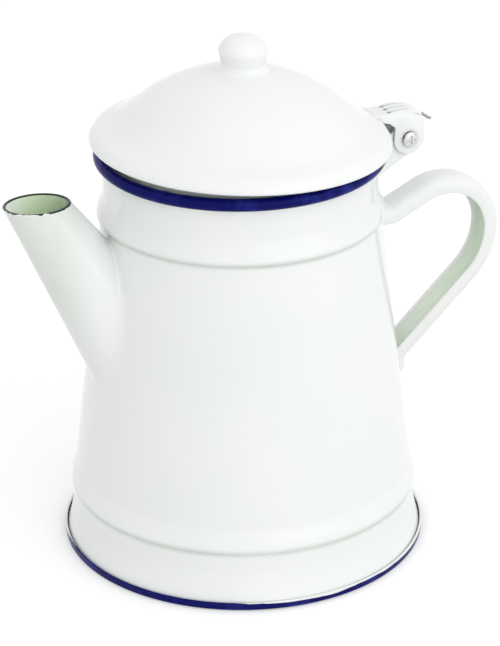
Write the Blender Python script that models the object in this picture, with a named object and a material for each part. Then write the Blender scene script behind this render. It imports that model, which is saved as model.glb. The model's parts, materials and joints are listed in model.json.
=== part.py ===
"""A conical enamelled coffee pot: sheet body, pouring spout, channel handle and a hinged, domed lid.

Metres, +Z up. The origin is the centre of the underside. The spout points along -X and the handle
along +X. The lid turns about an axis along +Y and stands slightly open, as it rests.
"""

import math

import bmesh
import bpy
from mathutils import Matrix, Vector

# Sheet, clearances and facets
SHEET = 0.0010
PAN_SHEET = 0.0007
GAP = 0.0003
BORE_PLAY = 0.0001
OVERRUN = 0.0060
MERGE = 0.000001
BODY_SIDES = 60
CURVE_STEPS = 4
ROLL_STEPS = 11
FULL_TURN = 2 * math.pi
SHARP_ANGLE = math.radians(34)

# Body: a flared skirt, a cone between two pressed beads, a neck and a rolled rim
BASE_RADIUS = 0.0650
SKIRT_HEIGHT = 0.0140
SKIRT_INSET = 0.0036
SKIRT_FLARE_POWER = 1.5
SKIRT_WALL_HEIGHT = 0.0070
LOWER_BEAD_OUT = 0.0005
LOWER_BEAD_LIP = 0.0012
LOWER_BEAD_RUN = 0.0095
CONE_FOOT_INSET = 0.00155
CONE_TOP_RADIUS = 0.04876
CONE_HEIGHT = 0.0914
UPPER_BEAD_OUT = 0.00134
UPPER_BEAD_LIP = 0.0015
UPPER_BEAD_RUN = 0.0086
NECK_INSET = 0.00106
NECK_HEIGHT = 0.0126
ROLL_OUT = 0.0008
ROLL_RADIUS = 0.0022

# Base pan: a flat floor with a raised edge ring and an upturned hem
PAN_RING_WIDTH = 0.0070
PAN_STEP_RUN = 0.0012
PAN_STEP = 0.0004
PAN_HEM_HEIGHT = 0.0031

# Strainer: rows of holes through the wall behind the spout
STRAINER_HOLE_RADIUS = 0.0025
STRAINER_PITCH = 0.0085
STRAINER_SIDE_ROWS = (-1, 0, 1)
STRAINER_HEIGHT_ROWS = (-1, 0, 1)
STRAINER_HOLE_SIDES = 10

# Spout: a slanted cone, a little flatter across than along, cut level at its mouth
SPOUT_DROP = 0.0497
SPOUT_AXIS_INSET = 0.0020
SPOUT_ELEVATION = math.radians(59.5)
SPOUT_RADIUS = 0.0160
SPOUT_TAPER_SHARE = 0.123
SPOUT_WIDTH_SHARE = 0.94
SPOUT_MOUTH_DROP = 0.0075
SPOUT_SIDES = 40

# Handle: a channel of sheet, open towards the fingers, with its upper end turned up the wall
HANDLE_DROP = 0.0342
HANDLE_TOP_WIDTH = 0.0124
HANDLE_FOOT_WIDTH = 0.0108
HANDLE_DEPTH = 0.0063
HANDLE_CORNER_RADIUS = 0.0038
HANDLE_LEVEL_RUN = 0.0050
HANDLE_RISE_ANGLE = math.radians(26)
HANDLE_RISE_RUN = 0.0128
HANDLE_BEND_RADIUS = 0.0080
HANDLE_CROWN_RADIUS = 0.0155
HANDLE_GRIP_RADIUS = 0.0225
HANDLE_GRIP_TURN = math.radians(45.8)
HANDLE_FOOT_RUN = 0.0010
HANDLE_END_ROUND = 0.0055
HANDLE_END_SHARES = (0.45, 0.75, 0.92, 0.99)
HANDLE_END_WIDTH_SHARE = 0.6
HANDLE_STEP_TURN = math.radians(12)
HANDLE_SINK = 0.0007
HANDLE_TAB_RISE = 0.0090
HANDLE_TAB_ROUND = 0.0030

# Lid: a dome on a sloping brim, a rolled hem, and a collar that drops into the neck
LID_OVERHANG = 0.0027
HEM_RADIUS = 0.0010
HEM_STEPS = 6
BRIM_WIDTH = 0.0067
BRIM_RISE = 0.0055
BRIM_SHARES = ((0.0, 0.0), (0.06, 0.20), (0.30, 0.56), (0.62, 0.79), (1.0, 1.0))
DOME_RISE = 0.0198
DOME_SHARES = (
    (0.945, 0.075),
    (0.83, 0.28),
    (0.72, 0.48),
    (0.57, 0.682),
    (0.42, 0.832),
    (0.28, 0.93),
    (0.15, 0.985),
    (0.0, 1.0),
)
COLLAR_PLAY = 0.0013
COLLAR_DROP = 0.0051
REST_TILT = math.radians(2.2)

# Knob: a flattened ball on a short waisted neck
KNOB_FOOT_RADIUS = 0.0093
KNOB_NECK_RADIUS = 0.0073
KNOB_NECK_RISE = 0.0024
KNOB_RADIUS = 0.0085
KNOB_HALF_HEIGHT = 0.0059
KNOB_SIDES = 28
KNOB_STEPS = 7

# Hinge: a bracket with two ears on the neck, a saddle with two cheeks on the lid, a screw and a nut
PIVOT_OUT = 0.0135
PIVOT_DROP = 0.0032
SCREW_RADIUS = 0.0015
EAR_HALF_WIDTH = 0.0037
EAR_RADIUS = 0.0055
EAR_LOWER_SLOPE = math.radians(31)
EAR_TOP_RUN = 0.0094
EAR_TOP_RISE = 0.0003
CHEEK_RADIUS = 0.0058
CHEEK_REAR_RISE = 0.0070
SADDLE_FRONT = 0.0140
SADDLE_REAR = 0.0099
SADDLE_HEIGHT = 0.0106
SADDLE_TOP_SHARES = ((-1.0, 0.93), (-0.82, 0.915), (-0.60, 0.94), (-0.32, 1.0), (0.05, 0.985), (0.51, 0.825))
LIP_TOP_SHARES = ((0.2, 0.93), (0.51, 0.825), (0.83, 0.625), (1.0, 0.56))
CHEEK_FRONT_SHARES = ((-0.45, 0.42), (-0.63, 0.585), (-0.68, 0.82))
LIP_HALF_WIDTH = 0.0025
SLOT_RADIUS = 0.0006
SLOT_PITCH = 0.0030
SLOT_BACK = 0.0079
HEAD_RADIUS = 0.00285
HEAD_HEIGHT = 0.0015
HEAD_SHARES = ((1.0, 0.25), (0.86, 0.62), (0.55, 0.9), (0.0, 1.0))
RECESS_WIDTH = 0.0006
RECESS_LENGTH = 0.0032
RECESS_DEPTH = 0.0006
NUT_FLATS = 0.0050
NUT_HEIGHT = 0.0020
SCREW_END = 0.0010
HINGE_ROUND_STEPS = 8
HINGE_SIDES = 24

# Colours
WHITE = (0.87, 0.885, 0.865)
BLUE = (0.012, 0.022, 0.21)
STEEL = (0.55, 0.55, 0.53)

# Heights, radii and reaches worked out from the sizes above
SKIRT_RADIUS = BASE_RADIUS - SKIRT_INSET
CONE_FOOT_RADIUS = SKIRT_RADIUS - CONE_FOOT_INSET
NECK_RADIUS = CONE_TOP_RADIUS - NECK_INSET
PAN_FLAT_RADIUS = BASE_RADIUS - PAN_RING_WIDTH
SPOUT_ROOT_REACH = 2 * SPOUT_RADIUS + SPOUT_AXIS_INSET
SPOUT_TIP_REACH = SPOUT_DROP + SPOUT_RADIUS
FOOT_Z = PAN_STEP + PAN_SHEET + GAP
LOWER_BEAD_Z = SKIRT_HEIGHT + SKIRT_WALL_HEIGHT
CONE_FOOT_Z = LOWER_BEAD_Z + LOWER_BEAD_RUN
CONE_TOP_Z = CONE_FOOT_Z + CONE_HEIGHT
UPPER_BEAD_Z = CONE_TOP_Z + UPPER_BEAD_LIP
NECK_Z = UPPER_BEAD_Z + UPPER_BEAD_RUN
RIM_Z = NECK_Z + NECK_HEIGHT
ROLL_CENTRE = NECK_RADIUS + ROLL_OUT
HEM_CENTRE = ROLL_CENTRE + LID_OVERHANG
HEM_Z = RIM_Z + math.sqrt((ROLL_RADIUS + HEM_RADIUS + GAP) ** 2 - LID_OVERHANG**2)
DOME_RADIUS = HEM_CENTRE + HEM_RADIUS - BRIM_WIDTH
DOME_FOOT_Z = HEM_Z + BRIM_RISE
PIVOT = Vector((ROLL_CENTRE + PIVOT_OUT, 0, RIM_Z - PIVOT_DROP))
CHEEK_INNER = EAR_HALF_WIDTH + GAP
CHEEK_OUTER = CHEEK_INNER + SHEET


def clear_scene():
    for item in list(bpy.data.objects):
        bpy.data.objects.remove(item)


def enamel(name, colour):
    """Glossy vitreous enamel."""
    return principled(name, colour, 0.12, 0.0)


def bare_steel(name):
    return principled(name, STEEL, 0.35, 1.0)


def principled(name, colour, roughness, metallic):
    material = bpy.data.materials.new(name)
    material.use_nodes = True
    shader = material.node_tree.nodes["Principled BSDF"]
    shader.inputs["Base Color"].default_value = (*colour, 1)
    shader.inputs["Roughness"].default_value = roughness
    shader.inputs["Metallic"].default_value = metallic
    material.diffuse_color = (*colour, 1)
    return material


def object_from(shape, name, parent=None):
    """An object from a bmesh, shaded smooth except at sharp edges."""
    bmesh.ops.recalc_face_normals(shape, faces=shape.faces)
    mesh = bpy.data.meshes.new(name)
    shape.to_mesh(mesh)
    shape.free()
    mesh.shade_smooth()
    mesh.set_sharp_from_angle(angle=SHARP_ANGLE)
    made = bpy.data.objects.new(name, mesh)
    bpy.context.scene.collection.objects.link(made)
    made.parent = parent
    return made


def as_cutter(made):
    made.hide_render = True
    made.display_type = "WIRE"
    return made


def boolean(target, other, operation):
    modifier = target.modifiers.new(f"{operation.lower()} {other.name}", "BOOLEAN")
    modifier.operation = operation
    modifier.object = other
    modifier.solver = "EXACT"


def turned(outline, sides):
    """A closed outline of (radius, height) points spun once round Z; one that ends on the axis stays open there."""
    shape = bmesh.new()
    points = [shape.verts.new((radius, 0, height)) for radius, height in outline]
    edges = [shape.edges.new(pair) for pair in zip(points, points[1:])]
    if outline[0][0] > 0 or outline[-1][0] > 0:
        edges.append(shape.edges.new((points[-1], points[0])))
    bmesh.ops.spin(
        shape, geom=points + edges, cent=(0, 0, 0), axis=(0, 0, 1), angle=FULL_TURN, steps=sides, use_merge=True
    )
    bmesh.ops.remove_doubles(shape, verts=shape.verts, dist=MERGE)
    return shape


def prism(outline, low_y, high_y):
    """An outline of (x, z) points extruded across, from low_y to high_y."""
    shape = bmesh.new()
    face = shape.faces.new([shape.verts.new((x, low_y, z)) for x, z in outline])
    grown = bmesh.ops.extrude_face_region(shape, geom=[face])
    moved = [item for item in grown["geom"] if isinstance(item, bmesh.types.BMVert)]
    bmesh.ops.translate(shape, verts=moved, vec=(0, high_y - low_y, 0))
    return shape


def loft(rings):
    """Rings with the same number of points joined in order and capped at both ends."""
    shape = bmesh.new()
    rows = [[shape.verts.new(point) for point in ring] for ring in rings]
    for row, after in zip(rows, rows[1:]):
        for index in range(len(row)):
            following = (index + 1) % len(row)
            shape.faces.new((row[index], row[following], after[following], after[index]))
    shape.faces.new(rows[0])
    shape.faces.new(rows[-1])
    return shape


def arc(centre, radius, start, end, steps):
    """Points on a circle in a plane, from one angle to another."""
    angles = [start + (end - start) * step / steps for step in range(steps + 1)]
    return [(centre[0] + radius * math.cos(a), centre[1] + radius * math.sin(a)) for a in angles]


def s_curve(start, end, steps):
    """Points between two (radius, height) ends that leave and arrive upright, without the first one."""
    points = []
    for step in range(1, steps + 1):
        rise_share = step / steps
        turn_share = (1 - math.cos(math.pi * rise_share)) / 2
        radius = start[0] + (end[0] - start[0]) * turn_share
        points.append((radius, start[1] + (end[1] - start[1]) * rise_share))
    return points


def value_at(points, wanted, by=1):
    """The other coordinate where a line of points passes a value of coordinate `by`."""
    other = 1 - by
    for first, second in zip(points, points[1:]):
        low, high = sorted((first[by], second[by]))
        if low <= wanted <= high and high > low:
            share = (wanted - first[by]) / (second[by] - first[by])
            return first[other] + (second[other] - first[other]) * share
    return points[-1][other]


def shifted(points, distance):
    """A line of points moved sideways to its left by a distance, each along the mean normal of its two spans."""
    moved = []
    for index, point in enumerate(points):
        before = points[max(index - 1, 0)]
        after = points[min(index + 1, len(points) - 1)]
        along = Vector((after[0] - before[0], after[1] - before[1])).normalized()
        moved.append((point[0] - along.y * distance, point[1] + along.x * distance))
    return moved


def body_line():
    """The body's outer line, from the foot of the skirt up to the neck's top."""
    foot_radius = BASE_RADIUS - PAN_SHEET - GAP
    line = []
    for step in range(CURVE_STEPS + 1):
        height = FOOT_Z + (SKIRT_HEIGHT - FOOT_Z) * step / CURVE_STEPS
        flare_share = (1 - step / CURVE_STEPS) ** SKIRT_FLARE_POWER
        line.append((SKIRT_RADIUS + (foot_radius - SKIRT_RADIUS) * flare_share, height))
    line.append((SKIRT_RADIUS, LOWER_BEAD_Z - LOWER_BEAD_LIP))
    line.append((SKIRT_RADIUS + LOWER_BEAD_OUT, LOWER_BEAD_Z))
    line += s_curve(line[-1], (CONE_FOOT_RADIUS, CONE_FOOT_Z), CURVE_STEPS)
    line.append((CONE_TOP_RADIUS, CONE_TOP_Z))
    line.append((CONE_TOP_RADIUS + UPPER_BEAD_OUT, UPPER_BEAD_Z))
    line += s_curve(line[-1], (NECK_RADIUS, NECK_Z), CURVE_STEPS)
    line.append((NECK_RADIUS, RIM_Z - math.sqrt(ROLL_RADIUS**2 - ROLL_OUT**2)))
    return line


def body_core(name, grown):
    """A solid plug of the body's outer shape, grown on the radius: what other pieces are trimmed to."""
    line = [(radius + grown, height) for radius, height in body_line()]
    line.append((line[-1][0], RIM_Z))
    return as_cutter(object_from(turned([(0, FOOT_Z)] + line + [(0, RIM_Z)], BODY_SIDES), name))


def wall_radius(height):
    return value_at(body_line(), height)


def paint_above(made, height, blue):
    """Gives the faces that lie above a height the second material."""
    made.data.materials.append(blue)
    for face in made.data.polygons:
        if face.center.z > height:
            face.material_index = 1


def make_body_shell():
    outer = body_line()
    inner = [(radius - SHEET, height) for radius, height in outer]
    inner_meets = math.sqrt(ROLL_RADIUS**2 - (ROLL_OUT + SHEET) ** 2)
    inner[-1] = (NECK_RADIUS - SHEET, RIM_Z - inner_meets)
    start = math.atan2(outer[-1][1] - RIM_Z, -ROLL_OUT)
    end = FULL_TURN + math.atan2(-inner_meets, -ROLL_OUT - SHEET)
    roll = arc((ROLL_CENTRE, RIM_Z), ROLL_RADIUS, start, end, ROLL_STEPS)
    body = object_from(turned(outer + roll[1:-1] + inner[::-1], BODY_SIDES), "body_shell")
    body.data.materials.append(enamel("body white enamel", WHITE))
    paint_above(body, RIM_Z - ROLL_RADIUS, enamel("rim blue enamel", BLUE))
    boolean(body, strainer_cutter(), "DIFFERENCE")
    return body


def strainer_cutter():
    """One cutter holding a drill for each strainer hole."""
    shape = bmesh.new()
    centre_z = RIM_Z - SPOUT_DROP
    radius = wall_radius(centre_z)
    for side in STRAINER_SIDE_ROWS:
        for row in STRAINER_HEIGHT_ROWS:
            place = Matrix.Translation((-radius, side * STRAINER_PITCH, centre_z + row * STRAINER_PITCH))
            bmesh.ops.create_cone(
                shape,
                cap_ends=True,
                segments=STRAINER_HOLE_SIDES,
                radius1=STRAINER_HOLE_RADIUS,
                radius2=STRAINER_HOLE_RADIUS,
                depth=2 * OVERRUN,
                matrix=place @ Matrix.Rotation(FULL_TURN / 4, 4, "Y"),
            )
    return as_cutter(object_from(shape, "strainer_drills"))


def make_base_pan():
    hem_inner = BASE_RADIUS - PAN_SHEET
    hem_round = PAN_SHEET / 2
    ring_start = PAN_FLAT_RADIUS + PAN_STEP_RUN
    under = [(0, 0), (PAN_FLAT_RADIUS, 0), (ring_start, PAN_STEP), (BASE_RADIUS - hem_round, PAN_STEP)]
    side = [(BASE_RADIUS, PAN_STEP + hem_round), (BASE_RADIUS, PAN_HEM_HEIGHT - hem_round)]
    edge = [(BASE_RADIUS - hem_round, PAN_HEM_HEIGHT), (hem_inner, PAN_HEM_HEIGHT - hem_round)]
    floor = [(hem_inner, PAN_STEP + PAN_SHEET), (ring_start, PAN_STEP + PAN_SHEET)]
    floor += [(PAN_FLAT_RADIUS, PAN_SHEET), (0, PAN_SHEET)]
    pan = object_from(turned(under + side + edge + floor, BODY_SIDES), "base_pan")
    pan.data.materials.append(enamel("base blue enamel", BLUE))
    return pan


def spout_cone(name, inset, overrun):
    """The spout's outer cone, or its bore where an inset is given."""
    low = -SPOUT_ROOT_REACH - overrun
    high = SPOUT_TIP_REACH + overrun
    rings = []
    for reach in (low, high):
        radius = SPOUT_RADIUS - SPOUT_TAPER_SHARE * reach - inset
        ring = arc((0, 0), radius, 0, FULL_TURN, SPOUT_SIDES)[:-1]
        rings.append([Vector((x, y * SPOUT_WIDTH_SHARE, reach)) for x, y in ring])
    shape = loft(rings)
    height = RIM_Z - SPOUT_DROP
    turn = Matrix.Rotation(SPOUT_ELEVATION - FULL_TURN / 4, 4, "Y")
    place = Matrix.Translation((SPOUT_AXIS_INSET - wall_radius(height), 0, height))
    shape.transform(place @ turn)
    return object_from(shape, name)


def make_spout(core):
    spout = spout_cone("spout", 0, 0)
    boolean(spout, as_cutter(spout_cone("spout_bore", SHEET, OVERRUN)), "DIFFERENCE")
    boolean(spout, core, "DIFFERENCE")
    mouth_z = RIM_Z - SPOUT_MOUTH_DROP
    far = CONE_FOOT_RADIUS + SPOUT_TIP_REACH
    corners = [(-far, mouth_z), (0, mouth_z), (0, RIM_Z + SPOUT_TIP_REACH), (-far, RIM_Z + SPOUT_TIP_REACH)]
    boolean(spout, as_cutter(object_from(prism(corners, -far, far), "spout_mouth_cut")), "DIFFERENCE")
    spout.data.materials.append(enamel("spout white enamel", WHITE))
    return spout


class Walk:
    """A path in the X-Z plane made of straight runs and bends; each stop is (x, z, heading)."""

    def __init__(self, x, z, heading):
        self.stops = [(x, z, heading)]

    def straight(self, length):
        x, z, heading = self.stops[-1]
        self.stops.append((x + length * math.cos(heading), z + length * math.sin(heading), heading))

    def bend(self, radius, turn):
        """Turns left for a positive turn, right for a negative one."""
        x, z, heading = self.stops[-1]
        side = math.copysign(radius, turn)
        centre = (x - side * math.sin(heading), z + side * math.cos(heading))
        steps = max(1, round(abs(turn) / HANDLE_STEP_TURN))
        for step in range(1, steps + 1):
            now = heading + turn * step / steps
            self.stops.append((centre[0] + side * math.sin(now), centre[1] - side * math.cos(now), now))


def handle_walk():
    """The line of the channel's rims, from inside the wall at the top, round the grip and down the wall."""
    top_z = RIM_Z - HANDLE_DROP
    wall_lean = math.atan2(CONE_FOOT_RADIUS - CONE_TOP_RADIUS, CONE_HEIGHT)
    walk = Walk(wall_radius(top_z) - OVERRUN, top_z, 0)
    walk.straight(OVERRUN + HANDLE_LEVEL_RUN)
    walk.bend(HANDLE_BEND_RADIUS, HANDLE_RISE_ANGLE)
    walk.straight(HANDLE_RISE_RUN)
    walk.bend(HANDLE_CROWN_RADIUS, -HANDLE_RISE_ANGLE - FULL_TURN / 4)
    walk.bend(HANDLE_GRIP_RADIUS, -HANDLE_GRIP_TURN)
    x, z, heading = walk.stops[-1]
    last_turn = HANDLE_GRIP_TURN + wall_lean
    bend = Walk(0, 0, heading)
    bend.bend(HANDLE_BEND_RADIUS, last_turn)
    bend_x, bend_z, _ = bend.stops[-1]
    wall_slope = math.tan(wall_lean)
    cone_radius = CONE_FOOT_RADIUS - HANDLE_SINK - wall_slope * (z + bend_z - CONE_FOOT_Z)
    walk.straight((cone_radius - x - bend_x) / (math.cos(heading) + wall_slope * math.sin(heading)))
    walk.bend(HANDLE_BEND_RADIUS, last_turn)
    walk.straight(HANDLE_FOOT_RUN)
    return walk.stops


def channel_solid(name, inset, below):
    """The handle's solid D section along its path, or the hollow of its channel where an inset is given."""
    stops = handle_walk()
    plain = len(stops)
    end_run = HANDLE_END_ROUND - inset
    x, z, heading = stops[-1]
    for share in HANDLE_END_SHARES:
        run = end_run * share
        stops.append((x + run * math.cos(heading), z + run * math.sin(heading), heading))
    rings = []
    for index, (x, z, heading) in enumerate(stops):
        fade = 1 if index < plain else math.sqrt(1 - HANDLE_END_SHARES[index - plain] ** 2)
        width = HANDLE_TOP_WIDTH + (HANDLE_FOOT_WIDTH - HANDLE_TOP_WIDTH) * min(index / plain, 1)
        width_share = HANDLE_END_WIDTH_SHARE + (1 - HANDLE_END_WIDTH_SHARE) * fade
        half = (width / 2 - inset) * width_share
        depth = (HANDLE_DEPTH - inset) * fade
        corner = min(HANDLE_CORNER_RADIUS - inset, depth, half)
        left = arc((half - corner, depth - corner), corner, 0, FULL_TURN / 4, CURVE_STEPS)
        right = arc((corner - half, depth - corner), corner, FULL_TURN / 4, FULL_TURN / 2, CURVE_STEPS)
        section = [(half, -below)] + left + right + [(-half, -below)]
        out = Vector((-math.sin(heading), 0, math.cos(heading)))
        rings.append([Vector((x, side, z)) + out * away for side, away in section])
    shape = loft(rings)
    bmesh.ops.triangulate(shape, faces=shape.faces)
    return object_from(shape, name)


def handle_tab():
    """The channel's upper end: its back turned up the wall and over the bead, with round corners."""
    low = RIM_Z - HANDLE_DROP + HANDLE_DEPTH - SHEET / 2
    high = low + SHEET / 2 + HANDLE_TAB_RISE
    half = HANDLE_TOP_WIDTH / 2
    corner = HANDLE_TAB_ROUND
    outline = [(-half, low), (half, low)]
    outline += arc((half - corner, high - corner), corner, 0, FULL_TURN / 4, CURVE_STEPS)
    outline += arc((corner - half, high - corner), corner, FULL_TURN / 4, FULL_TURN / 2, CURVE_STEPS)
    shape = prism(outline, 0, -2 * NECK_RADIUS)
    shape.transform(Matrix.Rotation(FULL_TURN / 4, 4, "Z"))
    tab = as_cutter(object_from(shape, "handle_tab"))
    boolean(tab, body_core("tab_outside", GAP + SHEET), "INTERSECT")
    boolean(tab, body_core("tab_inside", GAP + BORE_PLAY), "DIFFERENCE")
    return tab


def make_handle(core):
    handle = channel_solid("handle", 0, 0)
    boolean(handle, core, "DIFFERENCE")
    boolean(handle, as_cutter(channel_solid("handle_hollow", SHEET, SHEET)), "DIFFERENCE")
    boolean(handle, handle_tab(), "UNION")
    handle.data.materials.append(enamel("handle white enamel", WHITE))
    return handle


def lid_line():
    """The lid's outer line, from above the hem over the brim and the dome to the top, in the closed lid's place."""
    edge = (HEM_CENTRE + HEM_RADIUS, HEM_Z)
    line = []
    for in_share, up_share in BRIM_SHARES:
        line.append((edge[0] - BRIM_WIDTH * in_share, edge[1] + BRIM_RISE * up_share))
    for radius_share, rise_share in DOME_SHARES:
        line.append((DOME_RADIUS * radius_share, DOME_FOOT_Z + DOME_RISE * rise_share))
    return line


def lid_inner_line():
    line = shifted(lid_line(), SHEET)
    inside = [point for point in line if point[0] > 0 and point[1] > HEM_Z + HEM_RADIUS]
    top = lid_line()[-1]
    return inside + [(0, top[1] - SHEET)]


def hang(made):
    """Moves a mesh made in the closed lid's place into the pivot's frame."""
    made.data.transform(Matrix.Translation(-PIVOT))


def make_lid_shell(pivot):
    outer = lid_line()
    hem = arc((HEM_CENTRE, HEM_Z), HEM_RADIUS, 0, -FULL_TURN / 2, HEM_STEPS)
    outline = outer[::-1] + hem[1:] + lid_inner_line()
    lid = object_from(turned(outline, BODY_SIDES), "lid_shell", pivot)
    hang(lid)
    lid.data.materials.append(enamel("lid white enamel", WHITE))
    return lid


def make_lid_collar(pivot):
    outer = ROLL_CENTRE - ROLL_RADIUS - COLLAR_PLAY
    inner = outer - SHEET
    low = RIM_Z - COLLAR_DROP
    under_lid = lid_inner_line()
    outline = [(outer, low), (outer, value_at(under_lid, outer, 0) - GAP)]
    outline += [(inner, value_at(under_lid, inner, 0) - GAP), (inner, low)]
    collar = object_from(turned(outline, BODY_SIDES), "lid_collar", pivot)
    hang(collar)
    collar.data.materials.append(enamel("collar white enamel", WHITE))
    return collar


def make_lid_knob(pivot):
    dome = lid_line()
    seat_z = value_at(dome, KNOB_FOOT_RADIUS, 0) + GAP
    neck_z = seat_z + KNOB_NECK_RISE
    neck_angle = -math.acos(KNOB_NECK_RADIUS / KNOB_RADIUS)
    ball_z = neck_z - KNOB_HALF_HEIGHT * math.sin(neck_angle)
    outline = [(0, dome[-1][1] + GAP)]
    for radius, height in dome[::-1]:
        if 0 < radius < KNOB_FOOT_RADIUS:
            outline.append((radius, height + GAP))
    outline.append((KNOB_FOOT_RADIUS, seat_z))
    waist = arc((0, 0), 1, -FULL_TURN / 4, -FULL_TURN / 2, CURVE_STEPS)[1:]
    for in_share, up_share in waist:
        radius = KNOB_FOOT_RADIUS + (KNOB_FOOT_RADIUS - KNOB_NECK_RADIUS) * in_share
        outline.append((radius, seat_z + KNOB_NECK_RISE * (1 + up_share)))
    for out_share, up_share in arc((0, 0), 1, neck_angle, FULL_TURN / 4, KNOB_STEPS)[1:-1]:
        outline.append((KNOB_RADIUS * out_share, ball_z + KNOB_HALF_HEIGHT * up_share))
    outline.append((0, ball_z + KNOB_HALF_HEIGHT))
    knob = object_from(turned(outline, KNOB_SIDES), "lid_knob", pivot)
    hang(knob)
    knob.data.materials.append(enamel("knob white enamel", WHITE))
    return knob


def cross_bore(name, centre, parent=None):
    """A drill along Y through both sides of the hinge."""
    radius = SCREW_RADIUS + BORE_PLAY
    outline = [(centre.x + x, centre.z + z) for x, z in arc((0, 0), radius, 0, FULL_TURN, HINGE_SIDES)[:-1]]
    return as_cutter(object_from(prism(outline, -CHEEK_OUTER - OVERRUN, CHEEK_OUTER + OVERRUN), name, parent))


def make_hinge_bracket(core):
    """A folded channel: a back on the neck, a web along the lower edge, and two ears out to the pivot."""
    slope = EAR_LOWER_SLOPE
    low_normal = slope - FULL_TURN / 4
    touch = (PIVOT.x + EAR_RADIUS * math.cos(low_normal), PIVOT.z + EAR_RADIUS * math.sin(low_normal))
    inside_x = NECK_RADIUS - OVERRUN
    start_z = touch[1] - (touch[0] - inside_x) * math.tan(slope)
    shoulder = (PIVOT.x - EAR_TOP_RUN, PIVOT.z + EAR_TOP_RISE)
    spread = math.acos(EAR_RADIUS / EAR_TOP_RUN)
    outline = [(inside_x, start_z)]
    outline += arc((PIVOT.x, PIVOT.z), EAR_RADIUS, low_normal, FULL_TURN / 2 - spread, HINGE_ROUND_STEPS)
    outline += [shoulder, (inside_x, shoulder[1])]
    bracket = object_from(prism(outline, -EAR_HALF_WIDTH, EAR_HALF_WIDTH), "hinge_bracket")
    half = EAR_HALF_WIDTH - SHEET
    back_x = max(wall_radius(UPPER_BEAD_Z), NECK_RADIUS) + GAP + SHEET
    lift = SHEET / math.cos(slope)
    web_z = start_z + lift + (back_x - inside_x) * math.tan(slope)
    right_x = PIVOT.x + EAR_RADIUS + OVERRUN
    top_z = PIVOT.z + EAR_RADIUS + OVERRUN
    neck_x = NECK_RADIUS + GAP + SHEET
    hollow = [(back_x, web_z), (right_x, web_z + (right_x - back_x) * math.tan(slope)), (right_x, top_z)]
    hollow += [(neck_x, top_z), (neck_x, max(NECK_Z, web_z + SHEET))]
    boolean(bracket, as_cutter(object_from(prism(hollow, -half, half), "bracket_hollow")), "DIFFERENCE")
    boolean(bracket, core, "DIFFERENCE")
    boolean(bracket, cross_bore("bracket_bore", PIVOT), "DIFFERENCE")
    bracket.data.materials.append(enamel("bracket white enamel", WHITE))
    return bracket


def saddle_points(shares, drop):
    """Points round the pivot from shares of the saddle's reach each way and of its height."""
    points = []
    for x_share, z_share in shares:
        reach = SADDLE_FRONT if x_share < 0 else SADDLE_REAR
        points.append((x_share * reach, z_share * SADDLE_HEIGHT - drop))
    return points


def make_hinge_saddle(pivot):
    """A pressed saddle: a plate from the brim over the pivot to a rear lip, and a cheek down each side."""
    top = saddle_points(SADDLE_TOP_SHARES, 0)
    under = saddle_points(SADDLE_TOP_SHARES, SHEET)
    front = saddle_points(CHEEK_FRONT_SHARES, 0)
    round_edge = arc((0, 0), CHEEK_RADIUS, 0, -FULL_TURN / 2, HINGE_ROUND_STEPS)
    outline = top + [(CHEEK_RADIUS - SHEET / 2, CHEEK_REAR_RISE)] + round_edge + front + [under[0]]
    saddle = object_from(prism(outline, -CHEEK_OUTER, CHEEK_OUTER), "hinge_saddle", pivot)
    low = -CHEEK_RADIUS - OVERRUN
    right = under[-1][0] + OVERRUN
    left = under[0][0] - OVERRUN
    hollow = [(left, under[0][1])] + under + [(right, under[-1][1] - SHEET), (right, low), (left, low)]
    hollow_cutter = object_from(prism(hollow, -CHEEK_INNER, CHEEK_INNER), "saddle_hollow", pivot)
    boolean(saddle, as_cutter(hollow_cutter), "DIFFERENCE")
    lip = saddle_points(LIP_TOP_SHARES, 0) + saddle_points(LIP_TOP_SHARES, SHEET)[::-1]
    lip_solid = object_from(prism(lip, -LIP_HALF_WIDTH, LIP_HALF_WIDTH), "saddle_lip", pivot)
    boolean(saddle, as_cutter(lip_solid), "UNION")
    boolean(saddle, slot_cutter(pivot), "DIFFERENCE")
    boolean(saddle, cross_bore("saddle_bore", Vector((0, 0, 0)), pivot), "DIFFERENCE")
    boolean(saddle, lid_core(pivot), "DIFFERENCE")
    saddle.data.materials.append(enamel("saddle white enamel", WHITE))
    return saddle


def slot_cutter(pivot):
    shape = bmesh.new()
    for side in (-1, 0, 1):
        place = Matrix.Translation((-SLOT_BACK, side * SLOT_PITCH, SADDLE_HEIGHT))
        bmesh.ops.create_cone(
            shape,
            cap_ends=True,
            segments=HINGE_ROUND_STEPS,
            radius1=SLOT_RADIUS,
            radius2=SLOT_RADIUS,
            depth=OVERRUN,
            matrix=place,
        )
    return as_cutter(object_from(shape, "saddle_slots", pivot))


def lid_core(pivot):
    """A solid plug of the lid's outer shape, grown by the gap: the saddle is trimmed to it."""
    line = shifted(lid_line(), -GAP)
    line[-1] = (0, lid_line()[-1][1] + GAP)
    edge = HEM_CENTRE + HEM_RADIUS + GAP
    outline = line[::-1] + [(edge, HEM_Z), (edge, HEM_Z - HEM_RADIUS - GAP), (0, HEM_Z - HEM_RADIUS - GAP)]
    core = object_from(turned(outline, BODY_SIDES), "lid_clearance", pivot)
    hang(core)
    return as_cutter(core)


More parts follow.
